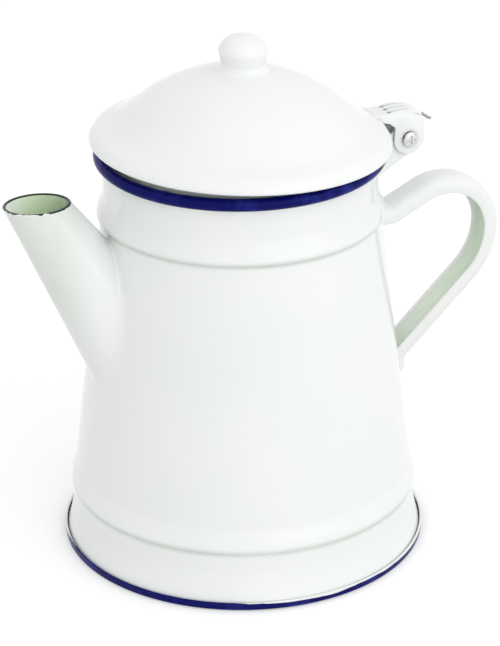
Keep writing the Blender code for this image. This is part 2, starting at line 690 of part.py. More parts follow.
def make_pivot_screw():
    under_head = CHEEK_OUTER + GAP
    tip = -under_head - NUT_HEIGHT - SCREW_END
    outline = [(0, under_head + HEAD_HEIGHT)]
    for out_share, up_share in HEAD_SHARES[-2::-1]:
        outline.append((HEAD_RADIUS * out_share, under_head + HEAD_HEIGHT * up_share))
    outline += [(HEAD_RADIUS, under_head), (SCREW_RADIUS, under_head), (SCREW_RADIUS, tip), (0, tip)]
    screw = object_from(turned(outline, HINGE_SIDES), "pivot_screw")
    screw.location = PIVOT
    screw.rotation_euler = (FULL_TURN / 4, 0, 0)
    head_top = CHEEK_OUTER + GAP + HEAD_HEIGHT
    bars = []
    for length, height in ((RECESS_LENGTH, RECESS_WIDTH), (RECESS_WIDTH, RECESS_LENGTH)):
        half_x, half_z = length / 2, height / 2
        corners = [(-half_x, -half_z), (half_x, -half_z), (half_x, half_z), (-half_x, half_z)]
        placed = [(PIVOT.x + x, PIVOT.z + z) for x, z in corners]
        bars.append(prism(placed, -head_top - OVERRUN, RECESS_DEPTH - head_top))
    for index, bar in enumerate(bars):
        boolean(screw, as_cutter(object_from(bar, f"screw_recess_{index}")), "DIFFERENCE")
    screw.data.materials.append(bare_steel("screw steel"))
    return screw


def make_pivot_nut():
    low = CHEEK_OUTER + GAP
    corner = NUT_FLATS / 2 / math.cos(FULL_TURN / 12)
    outline = [(PIVOT.x + x, PIVOT.z + z) for x, z in arc((0, 0), corner, 0, FULL_TURN, 6)[:-1]]
    nut = object_from(prism(outline, low, low + NUT_HEIGHT), "pivot_nut")
    boolean(nut, cross_bore("nut_bore", PIVOT), "DIFFERENCE")
    nut.data.materials.append(bare_steel("nut steel"))
    return nut


def make_lid_pivot():
    """The empty that the lid's pieces turn with, on the hinge axis."""
    pivot = bpy.data.objects.new("lid_pivot", None)
    bpy.context.scene.collection.objects.link(pivot)
    pivot.location = PIVOT
    pivot.rotation_euler = (0, REST_TILT, 0)
    return pivot


def main():
    clear_scene()
    core = body_core("body_clearance", GAP)
    make_body_shell()
    make_base_pan()
    make_spout(core)
    make_handle(core)
    make_hinge_bracket(core)
    pivot = make_lid_pivot()
    make_lid_shell(pivot)
    make_lid_collar(pivot)
    make_lid_knob(pivot)
    make_hinge_saddle(pivot)
    make_pivot_screw()
    make_pivot_nut()


main()
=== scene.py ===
"""The looks of a conical enamelled coffee pot: glossy white enamel, cobalt rim and base edge."""

import json
import math

import bmesh
import bpy
from mathutils import Matrix, Vector


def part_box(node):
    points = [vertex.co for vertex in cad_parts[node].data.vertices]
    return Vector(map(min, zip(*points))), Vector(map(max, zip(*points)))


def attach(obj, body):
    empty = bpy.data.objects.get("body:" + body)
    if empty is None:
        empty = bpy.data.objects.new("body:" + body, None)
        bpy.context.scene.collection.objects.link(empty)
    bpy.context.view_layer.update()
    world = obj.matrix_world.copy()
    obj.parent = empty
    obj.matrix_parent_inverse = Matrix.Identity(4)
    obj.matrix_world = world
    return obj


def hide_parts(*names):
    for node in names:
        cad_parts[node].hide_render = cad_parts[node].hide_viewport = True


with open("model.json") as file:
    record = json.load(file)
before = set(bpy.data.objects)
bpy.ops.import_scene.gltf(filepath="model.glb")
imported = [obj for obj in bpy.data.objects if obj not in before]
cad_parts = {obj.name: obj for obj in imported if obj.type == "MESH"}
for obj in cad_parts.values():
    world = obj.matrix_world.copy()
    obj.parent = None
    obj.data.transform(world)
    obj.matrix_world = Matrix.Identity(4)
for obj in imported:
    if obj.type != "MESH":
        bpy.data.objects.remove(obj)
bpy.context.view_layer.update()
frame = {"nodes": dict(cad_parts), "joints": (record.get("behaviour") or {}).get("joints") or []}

TURN = 2 * math.pi

# Places read from the frame. All lengths here are in metres.
PIVOT = Vector(frame["joints"][0]["pos_m"])
REST_TILT = math.radians(-frame["joints"][0]["range_deg"][0])
BODY_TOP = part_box("body_shell")[1].z
BASE_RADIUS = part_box("base_pan")[1].x
HEM_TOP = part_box("base_pan")[1].z

# Sheet and clearances
SHEET = 0.0010
GAP = 0.0003
SINK = 0.0004

# Body, as the CAD has it
FOOT_RADIUS = 0.0642
FOOT_HEIGHT = 0.0014
SKIRT_HEIGHT = 0.0140
SKIRT_RADIUS = 0.0614
SKIRT_FLARE_POWER = 1.5
LOWER_BEAD_HEIGHT = 0.0210
LOWER_BEAD_RADIUS = 0.0619
LOWER_BEAD_LIP = 0.0012
CONE_FOOT_HEIGHT = 0.0305
CONE_FOOT_RADIUS = 0.05985
CONE_TOP_HEIGHT = 0.1219
CONE_TOP_RADIUS = 0.04876
UPPER_BEAD_HEIGHT = 0.1234
UPPER_BEAD_RADIUS = 0.0501
NECK_HEIGHT = 0.1320
NECK_RADIUS = 0.0477
ROLL_RADIUS = 0.0022
ROLL_CENTRE = 0.0485
ROLL_HEIGHT = BODY_TOP - ROLL_RADIUS
BEAD_ROUND = 0.0005

# Strainer behind the spout
STRAINER_RADIUS = 0.0025
STRAINER_PITCH = 0.0085
STRAINER_ROWS = (-1, 0, 1)
STRAINER_SIDES = 32
DRILL_LENGTH = 8 * SHEET

# Base pan
PAN_SHEET = 0.0007
PAN_STEP = 0.0004
PAN_STEP_RUN = 3 * PAN_STEP
PAN_FLAT = 0.0580

# Spout
SPOUT_HEIGHT = 0.0949
SPOUT_INSET = 0.0020
SPOUT_ELEVATION = math.radians(59.5)
SPOUT_RADIUS = 0.0160
SPOUT_TAPER_SHARE = 0.123
SPOUT_WIDTH_SHARE = 0.94
SPOUT_MOUTH_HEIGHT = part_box("spout")[1].z
SPOUT_LIP_ROUND = 0.0004
SPOUT_LIP_MARGIN = 0.00016
SPOUT_ALONG = Vector((-math.cos(SPOUT_ELEVATION), 0, math.sin(SPOUT_ELEVATION)))
SPOUT_DOWN = Vector((-math.sin(SPOUT_ELEVATION), 0, -math.cos(SPOUT_ELEVATION)))
WELD_ON_SPOUT = 0.0040
WELD_ON_BODY = 0.0032
WELD_CROTCH_SHARE = 0.35
WELD_CENTRE_RISE = 0.002
ROOT_SEARCH = (-0.032, 0.036)
MOUTH_SEARCH = (0.0, 0.075)
SEARCH_STEPS = 40

# Handle
HANDLE_TOP_HEIGHT = 0.1104
HANDLE_TOP_WIDTH = 0.0124
HANDLE_FOOT_WIDTH = 0.0108
HANDLE_DEPTH = 0.0063
HANDLE_CORNER = 0.0038
HANDLE_ROOF_CORNER_SHARE = 0.9
HANDLE_LEVEL_RUN = 0.0050
HANDLE_RISE_ANGLE = math.radians(26)
HANDLE_RISE_RUN = 0.0128
HANDLE_BEND = 0.0080
HANDLE_CROWN = 0.0155
HANDLE_GRIP = 0.0225
HANDLE_GRIP_TURN = math.radians(45.8)
HANDLE_FOOT_RUN = 0.0010
HANDLE_END_ROUND = 0.0055
HANDLE_END_WIDTH_SHARE = 0.6
HANDLE_END_THIN_SHARE = 0.13
TAB_RISE = 0.0090
TAB_CORNER = 0.0030

# Lid, in the closed lid's place
HEM_RADIUS = 0.0010
HEM_CENTRE = 0.0512
HEM_TO_ROLL = ROLL_RADIUS + HEM_RADIUS + GAP
HEM_HEIGHT = ROLL_HEIGHT + math.sqrt(HEM_TO_ROLL**2 - (HEM_CENTRE - ROLL_CENTRE) ** 2)
BRIM_WIDTH = 0.0067
BRIM_RISE = 0.0055
BRIM_SHARES = ((0.0, 0.0), (0.06, 0.20), (0.30, 0.56), (0.62, 0.79), (1.0, 1.0))
DOME_RISE = 0.0198
DOME_SHARES = (
    (0.945, 0.075),
    (0.83, 0.28),
    (0.72, 0.48),
    (0.57, 0.682),
    (0.42, 0.832),
    (0.28, 0.93),
    (0.15, 0.985),
    (0.0, 1.0),
)
COLLAR_RADIUS = 0.0450
COLLAR_DROP = 0.0051
KNOB_RADIUS = 0.0086
KNOB_HALF_HEIGHT = 0.0062
KNOB_RISE = 0.0066
KNOB_RUN_OUT = 0.0106
KNOB_UNDER_SHARES = (
    (1.08, -1.075),
    (0.97, -0.95),
    (0.90, -0.79),
    (0.875, -0.64),
    (0.93, -0.37),
)

# Hinge, round the pivot: (towards the handle, up)
SADDLE_TOP = (
    (-0.0140, 0.00986),
    (-0.0115, 0.0097),
    (-0.0084, 0.00996),
    (-0.0045, 0.0106),
    (0.0005, 0.01044),
    (0.00505, 0.00875),
    (0.0082, 0.0066),
    (0.0099, 0.0059),
)
SADDLE_HALF_WIDTH = 0.0050
SHOULDER_START = 0.0041
SHOULDER_ROUND = 0.0008
SADDLE_LIP_HALF_WIDTH = 0.0025
SADDLE_LIP_ROUND = 0.0011
HOLE_SIDES = (-0.0031, 0.0, 0.0031)
HOLE_BACK = 0.0076
HOLE_RADIUS = 0.0008
HOLE_DEPTH = 0.0008
HOLE_REACH_SHARE = 1.25
HOLE_STEEPNESS = 3
GROOVE_DEPTH = 0.0005
GROOVE_HALF_WIDTH = 0.0006
GROOVE_END = 0.0035
GROOVE_FADE = 0.0060
CHEEK_INNER = 0.0040
CHEEK_RADIUS = 0.0058
CHEEK_REAR_TOP = (0.0053, 0.0070)
CHEEK_FRONT = ((-0.0057, 0.0046), (-0.0081, 0.0064), (-0.0103, 0.0069), (-0.0119, 0.0088))
CHEEK_EDGE = ((0.0, 0.0), (0.00074, 0.0), (0.00092, 0.00008), (0.00099, 0.00026))
HEAD_RADIUS = 0.00285
HEAD_HEIGHT = 0.0015
HEAD_EDGE_SHARE = 0.42
HEAD_OUT_SHARES = (0.2, 0.4, 0.55, 0.7, 0.8, 0.88, 0.94, 0.98, 1.0)
SCREW_RADIUS = 0.0015
RECESS_LENGTH = 0.0032
RECESS_WIDTH = 0.0006
RECESS_DEPTH = 0.0006
BRACKET_SOFTNESS = 0.00022
NUT_SOFTNESS = 0.00012

# Facets of the fine surfaces
RING_SIDES = 192
FINE_STEPS = 14
ROUND_STEPS = 5
WELD_STEPS = 8
LIP_STEPS = 6
SPOUT_SIDES = 96
SPOUT_ROWS = 28
HANDLE_STEP_TURN = math.radians(4)
HANDLE_LEVEL_STEPS = 3
HANDLE_RISE_STEPS = 4
HANDLE_ARM_STEPS = 6
CORNER_STEPS = 8
EDGE_STEPS = 6
TAB_ROWS = 30
TAB_HALF_COLUMNS = 8
LID_STEPS = 8
PLATE_COLUMNS = 72
PLATE_STEPS = 12
BEVEL_SEGMENTS = 3
BEVEL_ANGLE = math.radians(35)
SHARP_ANGLE = math.radians(50)
MERGE_DISTANCE = 2e-6

# Enamel: linear colours, and noise by its scale and the band of it that is used
WHITE = (0.86, 0.88, 0.865)
COOL_WHITE = (0.83, 0.86, 0.845)
# Painted shade: green-tinted whites for the insides and the handle's hollow
SHADE_TINT_WHITE = (0.86, 0.93, 0.83)
SHADE_GREEN = (0.72, 0.84, 0.67)
HANDLE_WHITE = (0.82, 0.83, 0.80)
LID_WHITE = (0.85, 0.865, 0.86)
# Painted shadow: dark enamel in the saddle's pressed holes
HOLE_SHADOW_TONES = ((0.10, 0.11, 0.10), (0.20, 0.22, 0.19))
# Darker grey for the cheeks' edge faces and the plate's lip edges
EDGE_SHADES = ((0.30, 0.32, 0.28), (0.44, 0.46, 0.42))
# Painted shade: grey in the plate's pressed grooves
GROOVE_SHADE_TONES = ((0.56, 0.58, 0.54), (0.66, 0.68, 0.64))
ENAMEL_IOR = 1.52
SOFT_DETAIL = 2.0
MIDDLE_BAND = (0.3, 0.7)
TONE_SCALE = 22.0
TONE_BAND = (0.35, 0.7)
GLOSS_SCALE = 140.0
ENAMEL_ROUGHNESS = (0.07, 0.13)
SKIN_SCALE = 420.0
SKIN_SHARE = 0.15
SAG_SCALE = 60.0
SAG_DETAIL = 1.0
RIPPLE_STRENGTH = 0.18
RIPPLE_DEPTH = 0.0004
# Painted shade in the creases under the beads: its colour, place, width and strength
CREASE_SHADE_GREEN = (0.61, 0.67, 0.61)
CREASE_DROP = 0.0006
CREASE_WIDTH = 0.0019
CREASE_SCALE = 30.0
CREASE_STRENGTH = (0.6, 1.0)
# Painted shade: the spout's darker white away from the body, and where it sets in
SPOUT_SHADE_WHITE = (0.75, 0.79, 0.74)
SPOUT_SHADE_BAND = (-0.058, -0.070)
# Painted shade and light in the bore: green tints for its shade, a pale white for its lit far side
BORE_SHADE_GREEN = (0.86, 0.98, 0.77)
BORE_DEEP_SHADE_GREEN = (0.77, 0.97, 0.66)
BORE_LIT_PALE = (0.97, 0.98, 0.95)
BORE_LIT_BAND = (-0.072, -0.0835)

# Cobalt, brushed on by hand
COBALT = (0.002, 0.004, 0.11)
COBALT_THIN = (0.03, 0.045, 0.33)
COAT_SCALE = 90.0
COAT_THIN_BAND = (0.52, 0.85)
WAVER_DETAIL = 4.0
WAVER_ROUGHNESS = 0.6
WAVER_BAND = (0.25, 0.75)
RIM_WAVER = 0.0004
RIM_WAVER_SCALE = 38.0
RIM_PAINT_SOFT = 0.000064
RIM_GLOSS = 0.07
FOOT_WAVER = 0.0004
FOOT_WAVER_SCALE = 60.0
FOOT_PAINT_SOFT = 0.00008
FOOT_PAINT_TOWARDS = (-0.85, -0.53)
FOOT_PAINT_SLOPE = 0.058
FOOT_PAINT_HEIGHTS = (0.0024, 0.0036)
FOOT_GLOSS = 0.1

# Wear on the spout's lip
IRON = (0.012, 0.010, 0.010)
WEAR_TOWARDS = (9.0, 16.0)
WEAR_LEVEL = 0.70
WEAR_SCALE = 300.0
WEAR_DETAIL = 4.0
WEAR_ROUGHNESS = 0.7
WEAR_BAND = (0.42, 0.47)
RIDGE_WEAR = 0.15

# Steel
STEEL = ((0.55, 0.55, 0.54), (0.78, 0.78, 0.77))
# Painted shade: dark steel for the screw head's side and underside
SIDE_SHADE_STEEL = ((0.03, 0.03, 0.03), (0.09, 0.09, 0.08))
STREAK_SCALE = 900.0
STREAK_DETAIL = 4.0
STREAK_STRENGTH = 0.2
STREAK_DEPTH = 0.0001
STEEL_GLOSS_SCALE = 500.0
STEEL_ROUGHNESS = (0.22, 0.42)

# Floor and light
FLOOR_HALF = 4.0
FLOOR_WHITE = (0.75, 0.75, 0.75, 1)
FLOOR_LIFT = 0.33
FLOOR_ROUGHNESS = 0.9
FLOOR_GLOSS = 0.1
WORLD_MEAN = 0.95
WORLD_SWING = 0.20
WORLD_TOWARDS = (0.20, -0.95, -0.15)
KEY_PLACE = Vector((0.50, -1.48, 0.66))
KEY_TARGET = Vector((0, 0, 0.08))
KEY_SIZE = 1.8
KEY_POWER = 6.2

# Camera, at the photograph's angle
CAMERA_PLACE = Vector((-0.3218, -0.7965, 0.4817))
CAMERA_AZIMUTH = math.radians(22.193)
CAMERA_PITCH = math.radians(25.10)
CAMERA_ROLL = math.radians(-0.424)
CAMERA_LENS = 149.35
CAMERA_SENSOR = 36.0


# Lines and meshes


def arc(centre, radius, start, end, steps):
    angles = [start + (end - start) * step / steps for step in range(steps + 1)]
    return [(centre[0] + radius * math.cos(a), centre[1] + radius * math.sin(a)) for a in angles]


def s_curve(start, end, steps):
    """A line from start, which it leaves out, to end, upright at both."""
    points = []
    for step in range(1, steps + 1):
        share = step / steps
        turn_share = (1 - math.cos(math.pi * share)) / 2
        across = start[0] + (end[0] - start[0]) * turn_share
        points.append((across, start[1] + (end[1] - start[1]) * share))
    return points


def rounded(points, corners):
    """The line with some corners rounded; corners maps an index to a radius."""
    made = []
    for index, point in enumerate(points):
        if index not in corners:
            made.append(point)
            continue
        here = Vector(point)
        before = (Vector(points[index - 1]) - here).normalized()
        after = (Vector(points[index + 1]) - here).normalized()
        reach = corners[index]
        for step in range(ROUND_STEPS + 1):
            share = step / ROUND_STEPS
            first = here + before * reach * (1 - share)
            second = here + after * reach * share
            made.append(tuple(first * (1 - share) + second * share))
    return made


def smooth_through(points, steps):
    """A smooth line through the points, with the given steps in each span."""
    ends = [Vector(point) for point in points]
    ends = [ends[0] * 2 - ends[1]] + ends + [ends[-1] * 2 - ends[-2]]
    made = []
    for a, b, c, d in zip(ends, ends[1:], ends[2:], ends[3:]):
        slope = c - a
        square = a * 2 - b * 5 + c * 4 - d
        cube = b * 3 - a - c * 3 + d
        for step in range(steps):
            t = step / steps
            made.append(tuple((b * 2 + slope * t + square * t**2 + cube * t**3) / 2))
    made.append(tuple(ends[-2]))
    return made


def value_at(points, wanted, by=1):
    """The line's other coordinate where the coordinate numbered by first has the wanted value."""
    other = 1 - by
    for first, second in zip(points, points[1:]):
        low, high = sorted((first[by], second[by]))
        if low <= wanted <= high and high > low:
            share = (wanted - first[by]) / (second[by] - first[by])
            return first[other] + (second[other] - first[other]) * share
    return points[-1][other]


def shifted(points, distance):
    """The line moved sideways by a distance."""
    moved = []
    for index, point in enumerate(points):
        before = points[max(index - 1, 0)]
        after = points[min(index + 1, len(points) - 1)]
        along = Vector((after[0] - before[0], after[1] - before[1])).normalized()
        moved.append((point[0] - along.y * distance, point[1] + along.x * distance))
    return moved


def object_from(shape, name):
    """A new object in the scene, from a bmesh."""
    mesh = bpy.data.meshes.new(name)
    shape.to_mesh(mesh)
    shape.free()
    made = bpy.data.objects.new(name, mesh)
    bpy.context.scene.collection.objects.link(made)
    return made


def piece_from(shape, name, materials, body):
    """An object from a bmesh, smooth-shaded, with its materials, riding on a body."""
    made = object_from(shape, name)
    made.data.shade_smooth()
    made.data.set_sharp_from_angle(angle=SHARP_ANGLE)
    for material in materials:
        made.data.materials.append(material)
    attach(made, body)
    return made


def cut_out(piece, shape, name):
    """Cuts a bmesh's solids out of a piece."""
    drills = object_from(shape, name)
    cut = piece.modifiers.new(name, "BOOLEAN")
    cut.operation = "DIFFERENCE"
    cut.object = drills
    bpy.context.view_layer.update()
    evaluated = piece.evaluated_get(bpy.context.evaluated_depsgraph_get())
    piece.data = bpy.data.meshes.new_from_object(evaluated)
    piece.modifiers.clear()
    bpy.data.objects.remove(drills)


def grid(rows, closed_rows, closed_columns, material_rows=()):
    """A bmesh from rows of points. material_rows gives (first row, last row, material index)."""
    shape = bmesh.new()
    verts = [[shape.verts.new(point) for point in row] for row in rows]
    row_count = len(verts) if closed_rows else len(verts) - 1
    width = len(verts[0])
    column_count = width if closed_columns else width - 1
    for r in range(row_count):
        index = 0
        for first, last, slot in material_rows:
            if first <= r < last:
                index = slot
        row, after = verts[r], verts[(r + 1) % len(verts)]
        for c in range(column_count):
            d = (c + 1) % width
            face = shape.faces.new((row[c], row[d], after[d], after[c]))
            face.material_index = index
    return shape


def capped_tube(rows):
    """A bmesh from closed rows of points, with a face over each end."""
    shape = grid(rows, False, True)
    width = len(rows[0])
    shape.verts.ensure_lookup_table()
    shape.verts.index_update()
    shape.faces.new(shape.verts[:width])
    shape.faces.new(shape.verts[-width:])
    return shape


def turned(outline, sides, material_rows=()):
    """A closed (radius, height) outline turned round Z; points on the axis are merged."""
    angles = [TURN * side / sides for side in range(sides)]
    rows = []
    for radius, height in outline:
        rows.append([(radius * math.cos(a), radius * math.sin(a), height) for a in angles])
    on_axis = outline[0][0] == 0 and outline[-1][0] == 0
    shape = grid(rows, not on_axis, True, material_rows)
    if on_axis:
        ends = [vert for vert in shape.verts if vert.co.xy.length == 0]
        bmesh.ops.remove_doubles(shape, verts=ends, dist=MERGE_DISTANCE)
    bmesh.ops.recalc_face_normals(shape, faces=shape.faces)
    return shape


# Materials


class Nodes:
    """A material's node tree, built by short calls."""

    def __init__(self, name):
        self.material = bpy.data.materials.new(name)
        self.material.use_nodes = True
        self.tree = self.material.node_tree
        self.shader = self.tree.nodes["Principled BSDF"]
        self.coordinates = self.tree.nodes.new("ShaderNodeTexCoord").outputs["Object"]

    def link(self, source, target):
        self.tree.links.new(source, target)

    def noise(self, scale, detail=3.0, roughness=0.5):
        node = self.tree.nodes.new("ShaderNodeTexNoise")
        node.inputs["Scale"].default_value = scale
        node.inputs["Detail"].default_value = detail
        node.inputs["Roughness"].default_value = roughness
        self.link(self.coordinates, node.inputs["Vector"])
        return node.outputs["Fac"]

    def ramp(self, source, low, high, low_value=0.0, high_value=1.0):
        node = self.tree.nodes.new("ShaderNodeMapRange")
        node.inputs["From Min"].default_value = low
        node.inputs["From Max"].default_value = high
        node.inputs["To Min"].default_value = low_value
        node.inputs["To Max"].default_value = high_value
        self.link(source, node.inputs["Value"])
        return node.outputs["Result"]

    def math(self, operation, first, second):
        node = self.tree.nodes.new("ShaderNodeMath")
        node.operation = operation
        for value, socket in ((first, node.inputs[0]), (second, node.inputs[1])):
            if isinstance(value, (int, float)):
                socket.default_value = value
            else:
                self.link(value, socket)
        return node.outputs[0]

    def mix(self, factor, first, second):
        node = self.tree.nodes.new("ShaderNodeMix")
        node.data_type = "RGBA"
        self.link(factor, node.inputs["Factor"])
        for value, socket in ((first, node.inputs["A"]), (second, node.inputs["B"])):
            if isinstance(value, tuple):
                socket.default_value = (*value, 1)
            else:
                self.link(value, socket)
        return node.outputs["Result"]

    def axis(self, name):
        node = self.tree.nodes.new("ShaderNodeSeparateXYZ")
        self.link(self.coordinates, node.inputs["Vector"])
        return node.outputs[name]

    def towards(self, direction):
        """The distance along a level direction, given as (x, y)."""
        sideways = self.math("MULTIPLY", self.axis("X"), direction[0])
        forward = self.math("MULTIPLY", self.axis("Y"), direction[1])
        return self.math("ADD", sideways, forward)

    def bump(self, height, strength, distance):
        node = self.tree.nodes.new("ShaderNodeBump")
        node.inputs["Strength"].default_value = strength
        node.inputs["Distance"].default_value = distance
        self.link(height, node.inputs["Height"])
        self.link(node.outputs["Normal"], self.shader.inputs["Normal"])

    def coloured(self, colour):
        """The finished material, in this colour."""
        self.link(colour, self.shader.inputs["Base Color"])
        return self.material


def enamel(name, colour=WHITE, shade=COOL_WHITE):
    """A new enamel's nodes, with its gloss and faint ripple, and its slowly changing tone."""
    nodes = Nodes(name)
    tone = nodes.ramp(nodes.noise(TONE_SCALE, SOFT_DETAIL), *TONE_BAND)
    skin = nodes.noise(SKIN_SCALE, SOFT_DETAIL)
    sag = nodes.noise(SAG_SCALE, SAG_DETAIL)
    gloss = nodes.ramp(nodes.noise(GLOSS_SCALE, SOFT_DETAIL), *MIDDLE_BAND, *ENAMEL_ROUGHNESS)
    nodes.link(gloss, nodes.shader.inputs["Roughness"])
    nodes.shader.inputs["IOR"].default_value = ENAMEL_IOR
    ripple = nodes.math("ADD", nodes.math("MULTIPLY", skin, SKIN_SHARE), sag)
    nodes.bump(ripple, RIPPLE_STRENGTH, RIPPLE_DEPTH)
    return nodes, nodes.mix(tone, colour, shade)


def plain_enamel(name, colour=WHITE, shade=COOL_WHITE):
    nodes, tone = enamel(name, colour, shade)
    return nodes.coloured(tone)


def waver(nodes, scale, reach):
    """The unevenness of a line painted by hand, up to reach either way."""
    source = nodes.noise(scale, WAVER_DETAIL, WAVER_ROUGHNESS)
    return nodes.ramp(source, *WAVER_BAND, -reach, reach)


def with_cobalt(nodes, white, blue, gloss):
    """The finished material: cobalt, thinner in places, where blue is 1, and white elsewhere."""
    coat = nodes.mix(nodes.ramp(nodes.noise(COAT_SCALE), *COAT_THIN_BAND), COBALT, COBALT_THIN)
    nodes.shader.inputs["Specular IOR Level"].default_value = gloss
    return nodes.coloured(nodes.mix(blue, white, coat))


def rim_enamel():
    """White enamel, with cobalt on the rolled rim."""
    nodes, white = enamel("rim_enamel")
    level = nodes.math("ADD", nodes.axis("Z"), waver(nodes, RIM_WAVER_SCALE, RIM_WAVER))
    low = ROLL_HEIGHT - ROLL_RADIUS
    blue = nodes.ramp(level, low - RIM_PAINT_SOFT, low + RIM_PAINT_SOFT)
    return with_cobalt(nodes, white, blue, RIM_GLOSS)


def foot_enamel():
    """White enamel, with cobalt on the foot's edge, higher at the front left than elsewhere."""
    nodes, white = enamel("base_enamel")
    reach = nodes.math("MULTIPLY", nodes.towards(FOOT_PAINT_TOWARDS), FOOT_PAINT_SLOPE)
    height = nodes.ramp(reach, *FOOT_PAINT_HEIGHTS, *FOOT_PAINT_HEIGHTS)
    wavering = nodes.math("ADD", nodes.axis("Z"), waver(nodes, FOOT_WAVER_SCALE, FOOT_WAVER))
    level = nodes.math("SUBTRACT", wavering, height)
    blue = nodes.ramp(level, -FOOT_PAINT_SOFT, FOOT_PAINT_SOFT, 1.0, 0.0)
    return with_cobalt(nodes, white, blue, FOOT_GLOSS)


def body_enamel():
    """White, darker and greener in the creases of the beads: painted shade."""
    nodes, white = enamel("body_enamel")
    height = nodes.axis("Z")
    crease_shade = None
    # Painted shade: a band under each bead's crest
    for crease in (LOWER_BEAD_HEIGHT, UPPER_BEAD_HEIGHT):
        away = nodes.math("ABSOLUTE", nodes.math("SUBTRACT", height, crease - CREASE_DROP), 0.0)
        near = nodes.ramp(away, 0.0, CREASE_WIDTH, 1.0, 0.0)
        crease_shade = near if crease_shade is None else nodes.math("MAXIMUM", crease_shade, near)
    strength = nodes.ramp(nodes.noise(CREASE_SCALE, SOFT_DETAIL), *MIDDLE_BAND, *CREASE_STRENGTH)
    return nodes.coloured(nodes.mix(nodes.math("MULTIPLY", crease_shade, strength), white, CREASE_SHADE_GREEN))


def spout_enamel():
    """The body's white at the root, and a darker, warmer white further up the spout: painted shade.
    """
    nodes, white = enamel("spout_enamel")
    spout_shade = nodes.ramp(nodes.axis("X"), *SPOUT_SHADE_BAND)
    return nodes.coloured(nodes.mix(spout_shade, white, SPOUT_SHADE_WHITE))


def bore_enamel():
    """Green near the pot as painted shade, and paler on the bore's far side as painted light."""
    nodes, bore_shade = enamel("spout_bore_enamel", BORE_SHADE_GREEN, BORE_DEEP_SHADE_GREEN)
    lit_side = nodes.ramp(nodes.axis("X"), *BORE_LIT_BAND)
    return nodes.coloured(nodes.mix(lit_side, bore_shade, BORE_LIT_PALE))


def worn_lip_enamel():
    """The spout's cut edge, worn to dark iron: whole behind, a broken line on the front's ridge."""
    nodes, white = enamel("spout_lip_enamel")
    chips = nodes.noise(WEAR_SCALE, WEAR_DETAIL, WEAR_ROUGHNESS)
    back = nodes.math("ADD", nodes.towards(WEAR_TOWARDS), WEAR_LEVEL)
    low = SPOUT_MOUTH_HEIGHT - SPOUT_LIP_ROUND
    ridge = nodes.ramp(nodes.axis("Z"), low, SPOUT_MOUTH_HEIGHT, 0.0, RIDGE_WEAR)
    level = nodes.math("ADD", nodes.math("ADD", chips, back), ridge)
    return nodes.coloured(nodes.mix(nodes.ramp(level, *WEAR_BAND), white, IRON))


def dull_steel(name, dark, bright):
    nodes = Nodes(name)
    streak = nodes.noise(STREAK_SCALE, STREAK_DETAIL)
    nodes.shader.inputs["Metallic"].default_value = 1.0
    gloss = nodes.ramp(nodes.noise(STEEL_GLOSS_SCALE), *MIDDLE_BAND, *STEEL_ROUGHNESS)
    nodes.link(gloss, nodes.shader.inputs["Roughness"])
    nodes.bump(streak, STREAK_STRENGTH, STREAK_DEPTH)
    return nodes.coloured(nodes.mix(streak, dark, bright))


# Body


def body_line():
    """The body's outer line, from the skirt's foot up to the rolled rim."""
    line = []
    for step in range(FINE_STEPS):
        height = FOOT_HEIGHT + (SKIRT_HEIGHT - FOOT_HEIGHT) * step / FINE_STEPS
        share = (1 - step / FINE_STEPS) ** SKIRT_FLARE_POWER
        line.append((SKIRT_RADIUS + (FOOT_RADIUS - SKIRT_RADIUS) * share, height))
    corners = {}
    line.append((SKIRT_RADIUS, SKIRT_HEIGHT))
    corners[len(line)] = BEAD_ROUND
    line.append((SKIRT_RADIUS, LOWER_BEAD_HEIGHT - LOWER_BEAD_LIP))
    corners[len(line)] = BEAD_ROUND
    line.append((LOWER_BEAD_RADIUS, LOWER_BEAD_HEIGHT))
    line += s_curve(line[-1], (CONE_FOOT_RADIUS, CONE_FOOT_HEIGHT), FINE_STEPS)
    corners[len(line)] = BEAD_ROUND
    line.append((CONE_TOP_RADIUS, CONE_TOP_HEIGHT))
    corners[len(line)] = BEAD_ROUND
    line.append((UPPER_BEAD_RADIUS, UPPER_BEAD_HEIGHT))
    line += s_curve(line[-1], (NECK_RADIUS, NECK_HEIGHT), FINE_STEPS)
    roll_meets = math.sqrt(ROLL_RADIUS**2 - (ROLL_CENTRE - NECK_RADIUS) ** 2)
    line.append((NECK_RADIUS, ROLL_HEIGHT - roll_meets))
    return rounded(line, corners)


BODY_LINE = body_line()


def wall(height):
    """The radius of the body's outside at a height."""
    return value_at(BODY_LINE, height)


def make_body():
    """The body's shell with its rolled rim, and the strainer's holes in it."""
    inner = [(radius - SHEET, height) for radius, height in BODY_LINE]
    inner_meets = math.sqrt(ROLL_RADIUS**2 - (ROLL_CENTRE - NECK_RADIUS + SHEET) ** 2)
    inner[-1] = (NECK_RADIUS - SHEET, ROLL_HEIGHT - inner_meets)
    start = math.atan2(BODY_LINE[-1][1] - ROLL_HEIGHT, NECK_RADIUS - ROLL_CENTRE)
    end = TURN + math.atan2(-inner_meets, NECK_RADIUS - ROLL_CENTRE - SHEET)
    roll = arc((ROLL_CENTRE, ROLL_HEIGHT), ROLL_RADIUS, start, end, 2 * FINE_STEPS)
    outline = BODY_LINE + roll[1:-1] + inner[::-1]
    rim_end = len(BODY_LINE) + len(roll) - 3
    rim = (len(BODY_LINE) - 1, rim_end, 2)
    inside = (rim_end, len(outline), 1)
    materials = [
        body_enamel(),
        # The inside's green tint is painted shade
        plain_enamel("body_inside_enamel", SHADE_TINT_WHITE, COOL_WHITE),
        rim_enamel(),
    ]
    shape = turned(outline, RING_SIDES, [rim, inside])
    body = piece_from(shape, "pot_shell", materials, "pot")
    drill_strainer(body)
    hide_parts("body_shell")


